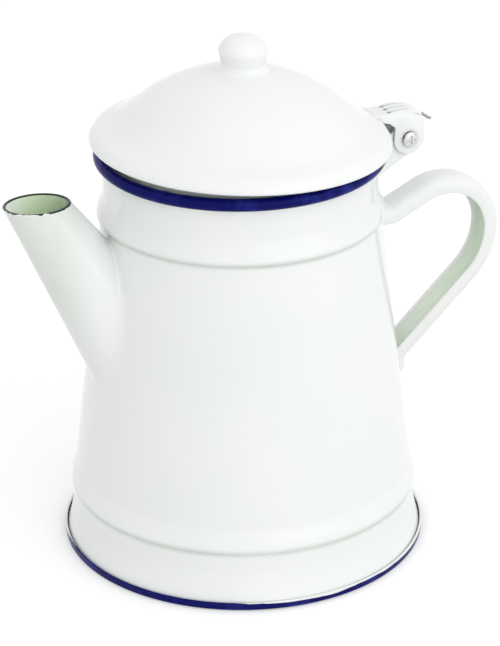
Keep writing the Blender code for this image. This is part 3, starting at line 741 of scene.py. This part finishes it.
def drill_strainer(body):
    """The holes behind the spout."""
    shape = bmesh.new()
    radius = wall(SPOUT_HEIGHT)
    level = Matrix.Rotation(TURN / 4, 4, "Y")
    for side in STRAINER_ROWS:
        for row in STRAINER_ROWS:
            hole = (-radius, side * STRAINER_PITCH, SPOUT_HEIGHT + row * STRAINER_PITCH)
            bmesh.ops.create_cone(
                shape,
                cap_ends=True,
                segments=STRAINER_SIDES,
                radius1=STRAINER_RADIUS,
                radius2=STRAINER_RADIUS,
                depth=DRILL_LENGTH,
                matrix=Matrix.Translation(hole) @ level,
            )
    cut_out(body, shape, "strainer_drills")


def make_base():
    """The base pan: its flat floor, raised edge ring and rounded cobalt hem."""
    rounding = PAN_SHEET / 2
    middle = BASE_RADIUS - rounding
    outline = [(0, 0), (PAN_FLAT, 0), (PAN_FLAT + PAN_STEP_RUN, PAN_STEP)]
    outline += arc((middle, PAN_STEP + rounding), rounding, -TURN / 4, 0, FINE_STEPS)
    outline += arc((middle, HEM_TOP - rounding), rounding, 0, TURN / 2, FINE_STEPS)
    outline += [
        (BASE_RADIUS - PAN_SHEET, PAN_STEP + PAN_SHEET),
        (PAN_FLAT + PAN_STEP_RUN, PAN_STEP + PAN_SHEET),
        (PAN_FLAT, PAN_SHEET),
        (0, PAN_SHEET),
    ]
    base = piece_from(turned(outline, RING_SIDES), "base_hem", [foot_enamel()], "pot")
    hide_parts("base_pan")


# Spout


def spout_point(reach, angle, inset):
    """A point at a reach along the spout's axis, at an angle round it, under its outside."""
    start = Vector((SPOUT_INSET - wall(SPOUT_HEIGHT), 0, SPOUT_HEIGHT))
    radius = SPOUT_RADIUS - SPOUT_TAPER_SHARE * reach - inset
    across = Vector((0, 1, 0)) * SPOUT_WIDTH_SHARE
    side = SPOUT_DOWN * math.cos(angle) + across * math.sin(angle)
    return start + SPOUT_ALONG * reach + side * radius


def first_beyond(beyond, span):
    """The reach within the span from which on beyond(reach) is true, found by halving."""
    low, high = span
    for _ in range(SEARCH_STEPS):
        middle = (low + high) / 2
        if beyond(middle):
            high = middle
        else:
            low = middle
    return high


def root_reach(angle, inset):
    """How far along the spout's axis its surface meets the body's wall at this angle."""

    def outside_wall(reach):
        point = spout_point(reach, angle, inset)
        return point.xy.length - wall(point.z) > 0

    return first_beyond(outside_wall, ROOT_SEARCH)


def mouth_reach(angle, inset):
    """How far along the spout's axis its surface comes up to the foot of the lip's rounding."""
    height = SPOUT_MOUTH_HEIGHT - SPOUT_LIP_ROUND
    return first_beyond(lambda reach: spout_point(reach, angle, inset).z > height, MOUTH_SEARCH)


def on_wall(point, sink=0.0):
    """The point moved level onto the body's outside, or a little under it."""
    radius = wall(point.z) - sink
    flat = point.xy.normalized() * radius
    return Vector((flat.x, flat.y, point.z))


def away_from_spout(root, before, after):
    """The direction along the wall that leads away from the spout at one point of its root."""
    tangent = (after - before).normalized()
    outward = Vector((root.x, root.y, 0)).normalized()
    away = outward.cross(tangent)
    centre = Vector((-wall(root.z), 0, SPOUT_HEIGHT + WELD_CENTRE_RISE))
    if away.dot(root - centre) < 0:
        away = -away
    return away.normalized()


def spout_lip(outer, inner):
    """The cut edge's rounding, from the outer side to the inner side."""
    points = [outer]
    for step in range(1, LIP_STEPS):
        share = step / LIP_STEPS
        across = outer.lerp(inner, (1 - math.cos(math.pi * share)) / 2)
        across.z = SPOUT_MOUTH_HEIGHT - SPOUT_LIP_ROUND * (1 - math.sin(math.pi * share))
        points.append(across)
    return points + [inner]


def spout_loop(angle, root, away):
    """The spout's section at one angle: the weld, the outside, the lip and the bore."""
    crotch_share = (1 - math.cos(angle)) / 2
    size_share = 1 - (1 - WELD_CROTCH_SHARE) * crotch_share**2
    start_reach = root_reach(angle, 0) + WELD_ON_SPOUT * size_share
    weld_start = spout_point(start_reach, angle, 0)
    weld_end = on_wall(root + away * WELD_ON_BODY * size_share)
    loop = [on_wall(weld_end, 2 * SINK)]
    for step in range(WELD_STEPS + 1):
        share = step / WELD_STEPS
        first = weld_end.lerp(root, share)
        second = root.lerp(weld_start, share)
        loop.append(first.lerp(second, share))
    top_reach = mouth_reach(angle, 0)
    for row in range(1, SPOUT_ROWS + 1):
        run = (top_reach - SPOUT_LIP_MARGIN - start_reach) * row / SPOUT_ROWS
        loop.append(spout_point(start_reach + run, angle, 0))
    inner_reach = mouth_reach(angle, SHEET)
    loop += spout_lip(spout_point(top_reach, angle, 0), spout_point(inner_reach, angle, SHEET))
    low_reach = root_reach(angle, SHEET)
    for row in range(SPOUT_ROWS + 1):
        run = (low_reach - inner_reach + SPOUT_LIP_MARGIN) * row / SPOUT_ROWS
        loop.append(spout_point(inner_reach - SPOUT_LIP_MARGIN + run, angle, SHEET))
    loop.append(on_wall(spout_point(low_reach, angle, SHEET), 2 * SINK))
    return loop


def make_spout():
    """The spout with a soft welded root, a rounded cut lip and its bore."""
    sides = [TURN * side / SPOUT_SIDES for side in range(SPOUT_SIDES)]
    roots = [spout_point(root_reach(angle, 0), angle, 0) for angle in sides]
    loops = []
    for index, angle in enumerate(sides):
        away = away_from_spout(roots[index], roots[index - 1], roots[(index + 1) % SPOUT_SIDES])
        loops.append(spout_loop(angle, roots[index], away))
    rows = [list(row) for row in zip(*loops)]
    lip_first = 1 + WELD_STEPS + SPOUT_ROWS
    lip_last = lip_first + LIP_STEPS + 2
    shape = grid(rows, True, True, [(lip_first, lip_last, 1), (lip_last, len(rows), 2)])
    bmesh.ops.recalc_face_normals(shape, faces=shape.faces)
    materials = [spout_enamel(), worn_lip_enamel(), bore_enamel()]
    spout = piece_from(shape, "spout_skin", materials, "pot")
    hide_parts("spout")


# Handle


class Walk:
    """A path in the X-Z plane of straight runs and bends; each stop is (x, z, heading)."""

    def __init__(self, x, z, heading):
        self.stops = [(x, z, heading)]

    def straight(self, length, steps=1):
        x, z, heading = self.stops[-1]
        for step in range(1, steps + 1):
            run = length * step / steps
            self.stops.append((x + run * math.cos(heading), z + run * math.sin(heading), heading))

    def bend(self, radius, turn):
        x, z, heading = self.stops[-1]
        side = math.copysign(radius, turn)
        centre = (x - side * math.sin(heading), z + side * math.cos(heading))
        steps = max(1, round(abs(turn) / HANDLE_STEP_TURN))
        for step in range(1, steps + 1):
            now = heading + turn * step / steps
            here = (centre[0] + side * math.sin(now), centre[1] - side * math.cos(now))
            self.stops.append((*here, now))


def handle_stops():
    """The handle's path, from the neck over the crown and down to the cone."""
    lean = math.atan2(CONE_FOOT_RADIUS - CONE_TOP_RADIUS, CONE_TOP_HEIGHT - CONE_FOOT_HEIGHT)
    walk = Walk(wall(HANDLE_TOP_HEIGHT) - 2 * SINK, HANDLE_TOP_HEIGHT, 0)
    walk.straight(2 * SINK + HANDLE_LEVEL_RUN, HANDLE_LEVEL_STEPS)
    walk.bend(HANDLE_BEND, HANDLE_RISE_ANGLE)
    walk.straight(HANDLE_RISE_RUN, HANDLE_RISE_STEPS)
    walk.bend(HANDLE_CROWN, -HANDLE_RISE_ANGLE - TURN / 4)
    walk.bend(HANDLE_GRIP, -HANDLE_GRIP_TURN)
    x, z, heading = walk.stops[-1]
    last_turn = HANDLE_GRIP_TURN + lean
    trial = Walk(0, 0, heading)
    trial.bend(HANDLE_BEND, last_turn)
    bend_x, bend_z, _ = trial.stops[-1]
    slope = math.tan(lean)
    radius = CONE_FOOT_RADIUS - SINK - slope * (z + bend_z - CONE_FOOT_HEIGHT)
    arm = (radius - x - bend_x) / (math.cos(heading) + slope * math.sin(heading))
    walk.straight(arm, HANDLE_ARM_STEPS)
    walk.bend(HANDLE_BEND, last_turn)
    walk.straight(HANDLE_FOOT_RUN)
    return walk.stops


def channel_section(half, depth, corner, roof):
    """A closed C section: round the outside, over one rolled edge, round the hollow and back."""
    edge = SHEET / 2
    outer = arc((half - corner, depth - corner), corner, 0, TURN / 4, CORNER_STEPS)
    outer += arc((corner - half, depth - corner), corner, TURN / 4, TURN / 2, CORNER_STEPS)
    left_edge = arc((edge - half, edge), edge, TURN / 2, TURN, EDGE_STEPS)
    inside = half - SHEET
    bend = min(corner - SHEET / 2, roof * HANDLE_ROOF_CORNER_SHARE, inside)
    inner = arc((bend - inside, roof - bend), bend, TURN / 2, TURN / 4, CORNER_STEPS)
    inner += arc((inside - bend, roof - bend), bend, TURN / 4, 0, CORNER_STEPS)
    right_edge = arc((half - edge, edge), edge, TURN / 2, TURN, EDGE_STEPS)
    return outer + left_edge + inner + right_edge


def handle_rows():
    """The channel's section at each stop; past the path's end it narrows and closes."""
    stops = handle_stops()
    plain = len(stops)
    x, z, heading = stops[-1]
    for step in range(1, FINE_STEPS + 1):
        run = HANDLE_END_ROUND * math.sin(TURN / 4 * step / FINE_STEPS)
        stops.append((x + run * math.cos(heading), z + run * math.sin(heading), heading))
    rows = []
    for index, (x, z, heading) in enumerate(stops):
        past = max(0, index - plain + 1)
        fade = max(math.cos(TURN / 4 * past / FINE_STEPS), HANDLE_END_THIN_SHARE)
        narrowing = (HANDLE_FOOT_WIDTH - HANDLE_TOP_WIDTH) * min(index / plain, 1)
        width_share = HANDLE_END_WIDTH_SHARE + (1 - HANDLE_END_WIDTH_SHARE) * fade
        half = (HANDLE_TOP_WIDTH + narrowing) / 2 * width_share
        depth = max(HANDLE_DEPTH * fade, SHEET)
        corner = min(HANDLE_CORNER, depth - SHEET / 2, half)
        roof = max(depth - SHEET, SHEET / 2 + SINK / 2)
        section = channel_section(half, max(depth, roof + SINK), corner, roof)
        out = Vector((-math.sin(heading), 0, math.cos(heading)))
        rows.append([Vector((x, side, z)) + out * away for side, away in section])
    return rows


def make_handle():
    """The channel handle, its hollow greener with painted shade, and the tab at its upper end."""
    rows = handle_rows()
    shape = capped_tube(rows)
    bmesh.ops.recalc_face_normals(shape, faces=shape.faces)
    around = 2 * (CORNER_STEPS + 1)
    hollow_start = around + EDGE_STEPS + 1
    hollow = range(hollow_start, hollow_start + around)
    for face in shape.faces:
        columns = [vert.index % len(rows[0]) for vert in face.verts]
        if len(columns) == 4 and min(columns) in hollow and max(columns) in hollow:
            face.material_index = 1
    materials = [
        plain_enamel("handle_enamel", HANDLE_WHITE, COOL_WHITE),
        # The hollow's green is painted shade
        plain_enamel("handle_inside_enamel", SHADE_TINT_WHITE, SHADE_GREEN),
    ]
    handle = piece_from(shape, "handle_channel", materials, "pot")
    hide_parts("handle")
    make_handle_tab(materials[0])


def make_handle_tab(material):
    """The channel's upper end, turned up the wall over the bead."""
    low = HANDLE_TOP_HEIGHT + HANDLE_DEPTH - 2 * SHEET
    high = HANDLE_TOP_HEIGHT + HANDLE_DEPTH + TAB_RISE
    faces = []
    for lift in (0, 1):
        rows = []
        for row in range(TAB_ROWS + 1):
            height = low + (high - low) * row / TAB_ROWS
            over = max(0.0, height - (high - TAB_CORNER))
            corner = math.sqrt(max(0.0, TAB_CORNER**2 - over**2))
            half = HANDLE_TOP_WIDTH / 2 - TAB_CORNER + corner
            line = []
            for column in range(-TAB_HALF_COLUMNS, TAB_HALF_COLUMNS + 1):
                side = half * column / TAB_HALF_COLUMNS
                edge = min(half - abs(side), high - height)
                swell = SHEET * lift * min(1.0, math.sqrt(max(edge, 0) / SHEET))
                radius = wall(height) - SINK + (SINK + swell) * lift
                line.append((math.sqrt(radius**2 - side**2), side, height))
            rows.append(line)
        faces.append(rows)
    inner, outer = faces
    shape = grid(inner + outer[::-1], True, False)
    bmesh.ops.holes_fill(shape, edges=[edge for edge in shape.edges if edge.is_boundary])
    bmesh.ops.recalc_face_normals(shape, faces=shape.faces)
    tab = piece_from(shape, "handle_tab", [material], "pot")


# Lid


def to_rest(shape):
    """Turns what was made in the closed lid's place to where the lid rests."""
    tilt = Matrix.Rotation(REST_TILT, 4, "Y")
    shape.transform(Matrix.Translation(PIVOT) @ tilt @ Matrix.Translation(-PIVOT))
    return shape


def lid_line():
    """The lid's upper line, from the hem over the brim to the dome's top."""
    edge = (HEM_CENTRE + HEM_RADIUS, HEM_HEIGHT)
    points = []
    for in_share, up_share in BRIM_SHARES:
        points.append((edge[0] - BRIM_WIDTH * in_share, edge[1] + BRIM_RISE * up_share))
    dome_radius = edge[0] - BRIM_WIDTH
    dome_foot = edge[1] + BRIM_RISE
    for radius_share, rise_share in DOME_SHARES:
        points.append((dome_radius * radius_share, dome_foot + DOME_RISE * rise_share))
    mirrored = points + [(-points[-2][0], points[-2][1])]
    return smooth_through(mirrored, LID_STEPS)[:-LID_STEPS]


LID_LINE = lid_line()


def make_lid():
    """The lid's dome and rolled hem, its collar and its knob."""
    under = shifted(LID_LINE, SHEET)
    hem_top = HEM_HEIGHT + HEM_RADIUS
    under = [point for point in under if point[0] > SHEET and point[1] > hem_top]
    hem = arc((HEM_CENTRE, HEM_HEIGHT), HEM_RADIUS, 0, -TURN / 2, FINE_STEPS)
    top = LID_LINE[-1][1]
    outline = [(0, top)] + LID_LINE[-2::-1] + hem[1:] + under + [(0, top - SHEET)]
    inside = (len(LID_LINE) + len(hem) - 1, len(outline), 1)
    materials = [
        plain_enamel("lid_enamel", LID_WHITE, WHITE),
        # The lid's inside is partly tinted green: painted shade
        plain_enamel("lid_inside_enamel", COOL_WHITE, SHADE_TINT_WHITE),
    ]
    shape = to_rest(turned(outline, RING_SIDES, [inside]))
    lid = piece_from(shape, "lid_dome", materials, "lid")
    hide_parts("lid_shell")
    make_collar(under, materials[1])
    make_knob(materials[0])


def make_collar(under, material):
    """The ring under the lid, up to the lid's inner line."""
    middle = COLLAR_RADIUS - SHEET / 2
    inner = COLLAR_RADIUS - SHEET
    low = ROLL_HEIGHT - COLLAR_DROP
    outline = arc((middle, low + SHEET / 2), SHEET / 2, -TURN / 2, 0, ROUND_STEPS)
    outline += [(COLLAR_RADIUS, value_at(under, COLLAR_RADIUS, 0) - GAP / 2)]
    outline += [(inner, value_at(under, inner, 0) - GAP / 2)]
    shape = to_rest(turned(outline, RING_SIDES))
    collar = piece_from(shape, "collar_ring", [material], "lid")
    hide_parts("lid_collar")


def make_knob(material):
    """A flattened ball whose neck runs out into the dome in one soft fillet."""
    centre = value_at(LID_LINE, KNOB_RADIUS, 0) + KNOB_RISE
    points = [(KNOB_RUN_OUT, value_at(LID_LINE, KNOB_RUN_OUT, 0) - SINK / 4)]
    ball = arc((0, 0), 1, 0, TURN / 4, FINE_STEPS)[:-1]
    for out_share, up_share in list(KNOB_UNDER_SHARES) + ball:
        points.append((KNOB_RADIUS * out_share, centre + KNOB_HALF_HEIGHT * up_share))
    outline = smooth_through(points, ROUND_STEPS) + [(0, centre + KNOB_HALF_HEIGHT)]
    low = outline[0][1] - SHEET / 2
    outline = [(0, low), (outline[0][0] - SHEET, low)] + outline
    shape = to_rest(turned(outline, RING_SIDES // 2))
    knob = piece_from(shape, "knob_ball", [material], "lid")
    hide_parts("lid_knob")


# Hinge


# Places in the saddle's list of materials
HOLE, EDGE, GROOVE = 1, 2, 3


def dress(node, material):
    """Gives a CAD node its material."""
    slots = frame["nodes"][node].data.materials
    slots.clear()
    slots.append(material)


def round_edges(node, width):
    """Softens a CAD node's edges as a coat of enamel does."""
    bevel = frame["nodes"][node].modifiers.new("soft edges", "BEVEL")
    bevel.width = width
    bevel.segments = BEVEL_SEGMENTS
    bevel.limit_method = "ANGLE"
    bevel.angle_limit = BEVEL_ANGLE
    frame["nodes"][node].data.shade_smooth()


def saddle_half_width(along):
    """Half the plate's width: square shoulders behind the pivot, then a narrow round-ended lip."""
    if along < SHOULDER_START:
        return SADDLE_HALF_WIDTH
    if along < SHOULDER_START + SHOULDER_ROUND:
        over = along - SHOULDER_START
        return SADDLE_HALF_WIDTH - SHOULDER_ROUND + math.sqrt(SHOULDER_ROUND**2 - over**2)
    over = along - SADDLE_TOP[-1][0] + SADDLE_LIP_ROUND
    if over > 0:
        rounding = math.sqrt(max(SADDLE_LIP_ROUND**2 - over**2, 0))
        return SADDLE_LIP_HALF_WIDTH - SADDLE_LIP_ROUND + rounding
    return SADDLE_LIP_HALF_WIDTH


def saddle_sink(along, side):
    """How far the small holes and the pressed grooves lie below the plate's face."""
    depth = 0.0
    for place in HOLE_SIDES:
        away = math.hypot(along + HOLE_BACK, side - place) / HOLE_RADIUS
        depth = max(depth, HOLE_DEPTH * min(max(HOLE_REACH_SHARE - away, 0) * HOLE_STEEPNESS, 1))
        if along > -HOLE_BACK:
            fade = min(max((GROOVE_END - along) / GROOVE_FADE, 0), 1)
            across = abs(side - place) / GROOVE_HALF_WIDTH
            depth = max(depth, GROOVE_DEPTH * fade * max(1 - across**2, 0))
    return depth


def saddle_plate(top_line):
    """The plate's closed section at each stop along the top line, with its edges rounded."""
    edge = arc((0, 0), SHEET / 2, TURN / 4, -TURN / 4, ROUND_STEPS)
    rows = []
    for index, (along, height) in enumerate(top_line):
        before = top_line[max(index - 1, 0)]
        after = top_line[min(index + 1, len(top_line) - 1)]
        tangent = Vector((after[0] - before[0], after[1] - before[1])).normalized()
        down = Vector((tangent.y, 0, -tangent.x))
        flat = saddle_half_width(along) - SHEET / 2
        section = []
        for step in range(PLATE_COLUMNS + 1):
            side = flat * (2 * step / PLATE_COLUMNS - 1)
            section.append((side, saddle_sink(along, side)))
        section += [(flat + a, SHEET / 2 - b) for a, b in edge[1:]]
        section += [(-flat - a, SHEET / 2 + b) for a, b in edge[:-1]]
        start = PIVOT + Vector((along, 0, height))
        rows.append([start + Vector((0, side, 0)) + down * sink for side, sink in section])
    return rows


def saddle_cheek(side):
    """One cheek: a plate about the screw, its outer edge rounded, rising to the plate above."""
    line = [(x, z - SHEET / 2) for x, z in SADDLE_TOP[1:5]]
    line += [CHEEK_REAR_TOP] + arc((0, 0), CHEEK_RADIUS, 0, -TURN / 2, 2 * FINE_STEPS)
    line += CHEEK_FRONT
    middle = Vector((0, SHEET))
    shape = bmesh.new()
    rings = []
    for out, inset in CHEEK_EDGE:
        ring = []
        for x, z in line:
            towards = (middle - Vector((x, z))).normalized() * inset
            place = Vector((x + towards.x, side * (CHEEK_INNER + out), z + towards.y))
            ring.append(shape.verts.new(PIVOT + place))
        rings.append(ring)
    shape.faces.new(rings[0])
    shape.faces.new(rings[-1])
    count = len(line)
    for row, (ring, after) in enumerate(zip(rings, rings[1:])):
        for i in range(count):
            j = (i + 1) % count
            face = shape.faces.new((ring[i], ring[j], after[j], after[i]))
            face.material_index = 0 if row else EDGE
    bmesh.ops.recalc_face_normals(shape, faces=shape.faces)
    return shape


def saddle_material(columns, along, side):
    """The material of a face of the plate, from its columns and its place from the pivot."""
    if max(columns) > PLATE_COLUMNS:
        return EDGE if along > SHOULDER_START else 0
    sunk = saddle_sink(along, side)
    # Painted shadow in the holes
    if sunk > GROOVE_DEPTH:
        return HOLE
    # Painted shade along the grooves
    return GROOVE if sunk > GROOVE_DEPTH / 3 else 0


def make_saddle(materials):
    """The pressed saddle on the lid's edge: its plate with grooves and lip, and two cheeks."""
    rows = saddle_plate(smooth_through(SADDLE_TOP, PLATE_STEPS))
    shape = capped_tube(rows)
    for face in shape.faces:
        columns = [vert.index % len(rows[0]) for vert in face.verts]
        centre = face.calc_center_median() - PIVOT
        face.material_index = saddle_material(columns, centre.x, centre.y)
    bmesh.ops.recalc_face_normals(shape, faces=shape.faces)
    saddle = piece_from(to_rest(shape), "saddle_plate", materials, "lid")
    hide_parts("hinge_saddle")
    for name, side in (("saddle_cheek_near", -1), ("saddle_cheek_far", 1)):
        cheek = piece_from(to_rest(saddle_cheek(side)), name, materials, "lid")


def make_screw(steel, shade):
    """The pivot screw: a domed head with a crisp cross recess, and its shank."""
    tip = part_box("pivot_screw")[1].y
    under = CHEEK_INNER + SHEET + GAP
    outline = [(0, under + HEAD_HEIGHT)]
    for share in HEAD_OUT_SHARES:
        rise = HEAD_EDGE_SHARE + (1 - HEAD_EDGE_SHARE) * math.sqrt(1 - share**2)
        outline.append((HEAD_RADIUS * share, under + HEAD_HEIGHT * rise))
    side_row = len(outline) - 1
    outline += [(HEAD_RADIUS, under), (SCREW_RADIUS, under), (SCREW_RADIUS, -tip), (0, -tip)]
    # The head's side and underside get the painted shade steel
    shape = turned(outline, RING_SIDES // 4, [(side_row, side_row + 2, 1)])
    shape.transform(Matrix.Translation(PIVOT) @ Matrix.Rotation(TURN / 4, 4, "X"))
    screw = piece_from(shape, "screw_head", [steel, shade], "pot")
    top = Matrix.Translation(PIVOT - Vector((0, under + HEAD_HEIGHT, 0)))
    for length, height in ((RECESS_LENGTH, RECESS_WIDTH), (RECESS_WIDTH, RECESS_LENGTH)):
        cutter = bmesh.new()
        size = Matrix.Diagonal((length, 2 * RECESS_DEPTH, height, 1))
        bmesh.ops.create_cube(cutter, size=1, matrix=top @ size)
        cut_out(screw, cutter, "recess_drill")
    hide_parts("pivot_screw")


def make_hinge():
    """The saddle and the screw, and the looks of the CAD's bracket and nut."""
    white = plain_enamel("hinge_enamel")
    hole = plain_enamel("hinge_hole_shadow_enamel", *HOLE_SHADOW_TONES)
    edge = plain_enamel("hinge_edge_enamel", *EDGE_SHADES)
    groove_shade = plain_enamel("hinge_groove_shade_enamel", *GROOVE_SHADE_TONES)
    steel = dull_steel("screw_steel", *STEEL)
    make_saddle([white, hole, edge, groove_shade])
    make_screw(steel, dull_steel("screw_side_shade_steel", *SIDE_SHADE_STEEL))
    round_edges("hinge_bracket", BRACKET_SOFTNESS)
    dress("hinge_bracket", white)
    round_edges("pivot_nut", NUT_SOFTNESS)
    dress("pivot_nut", steel)


# Stage


def make_floor():
    shape = bmesh.new()
    corners = [(-1, -1, 0), (1, -1, 0), (1, 1, 0), (-1, 1, 0)]
    shape.faces.new([shape.verts.new(Vector(corner) * FLOOR_HALF) for corner in corners])
    floor = object_from(shape, "floor")
    floor.data.materials.append(floor_material())


def seen_or_mirrored(tree):
    """1 for the camera's rays and for rays through gloss or glass, 0 for light on the object."""
    path = tree.nodes.new("ShaderNodeLightPath")
    both = path.outputs["Is Camera Ray"]
    for name in ("Is Glossy Ray", "Is Transmission Ray"):
        most = tree.nodes.new("ShaderNodeMath")
        most.operation = "MAXIMUM"
        tree.links.new(both, most.inputs[0])
        tree.links.new(path.outputs[name], most.inputs[1])
        both = most.outputs[0]
    return both


def floor_material():
    """White paper that stays white to the camera and keeps the pot's soft shadow."""
    material = bpy.data.materials.new("floor_paper")
    material.use_nodes = True
    tree = material.node_tree
    shader = tree.nodes["Principled BSDF"]
    shader.inputs["Base Color"].default_value = FLOOR_WHITE
    shader.inputs["Roughness"].default_value = FLOOR_ROUGHNESS
    shader.inputs["Specular IOR Level"].default_value = FLOOR_GLOSS
    shader.inputs["Emission Color"].default_value = (1, 1, 1, 1)
    scale = tree.nodes.new("ShaderNodeMath")
    scale.operation = "MULTIPLY"
    scale.inputs[1].default_value = FLOOR_LIFT
    tree.links.new(seen_or_mirrored(tree), scale.inputs[0])
    tree.links.new(scale.outputs[0], shader.inputs["Emission Strength"])
    return material


def make_world():
    """A pale studio, a little brighter in front, and white to the camera and in gloss."""
    world = bpy.data.worlds.new("studio")
    bpy.context.scene.world = world
    world.use_nodes = True
    tree = world.node_tree
    background = tree.nodes["Background"]
    background.inputs["Color"].default_value = (1, 1, 1, 1)
    place = tree.nodes.new("ShaderNodeTexCoord")
    towards = tree.nodes.new("ShaderNodeVectorMath")
    towards.operation = "DOT_PRODUCT"
    towards.inputs[1].default_value = Vector(WORLD_TOWARDS).normalized()
    level = tree.nodes.new("ShaderNodeMapRange")
    level.inputs["From Min"].default_value = -1
    level.inputs["To Min"].default_value = WORLD_MEAN - WORLD_SWING
    level.inputs["To Max"].default_value = WORLD_MEAN + WORLD_SWING
    mix = tree.nodes.new("ShaderNodeMix")
    mix.inputs["B"].default_value = 1
    tree.links.new(place.outputs["Generated"], towards.inputs[0])
    tree.links.new(towards.outputs["Value"], level.inputs["Value"])
    tree.links.new(level.outputs["Result"], mix.inputs["A"])
    tree.links.new(seen_or_mirrored(tree), mix.inputs["Factor"])
    tree.links.new(mix.outputs["Result"], background.inputs["Strength"])


def make_key():
    """One large soft lamp at the upper right, in front."""
    data = bpy.data.lights.new("key", "AREA")
    data.shape = "SQUARE"
    data.size = KEY_SIZE
    data.energy = KEY_POWER
    lamp = bpy.data.objects.new("key", data)
    bpy.context.scene.collection.objects.link(lamp)
    lamp.location = KEY_PLACE
    lamp.rotation_mode = "QUATERNION"
    lamp.rotation_quaternion = (KEY_TARGET - KEY_PLACE).to_track_quat("-Z", "Y")


def make_camera():
    data = bpy.data.cameras.new("camera")
    data.lens = CAMERA_LENS
    data.sensor_width = CAMERA_SENSOR
    camera = bpy.data.objects.new("camera", data)
    bpy.context.scene.collection.objects.link(camera)
    level = Vector((math.sin(CAMERA_AZIMUTH), math.cos(CAMERA_AZIMUTH), 0))
    forward = level * math.cos(CAMERA_PITCH) - Vector((0, 0, math.sin(CAMERA_PITCH)))
    right = forward.cross(Vector((0, 0, 1))).normalized()
    up = right.cross(forward)
    rolled_right = right * math.cos(CAMERA_ROLL) + up * math.sin(CAMERA_ROLL)
    rolled_up = up * math.cos(CAMERA_ROLL) - right * math.sin(CAMERA_ROLL)
    turn = Matrix((rolled_right, rolled_up, -forward)).transposed()
    camera.matrix_world = Matrix.Translation(CAMERA_PLACE) @ turn.to_4x4()
    bpy.context.scene.camera = camera


make_camera()
make_body()
make_base()
make_spout()
make_handle()
make_lid()
make_hinge()
make_floor()
make_world()
make_key()
bpy.context.scene.view_settings.view_transform = "Standard"
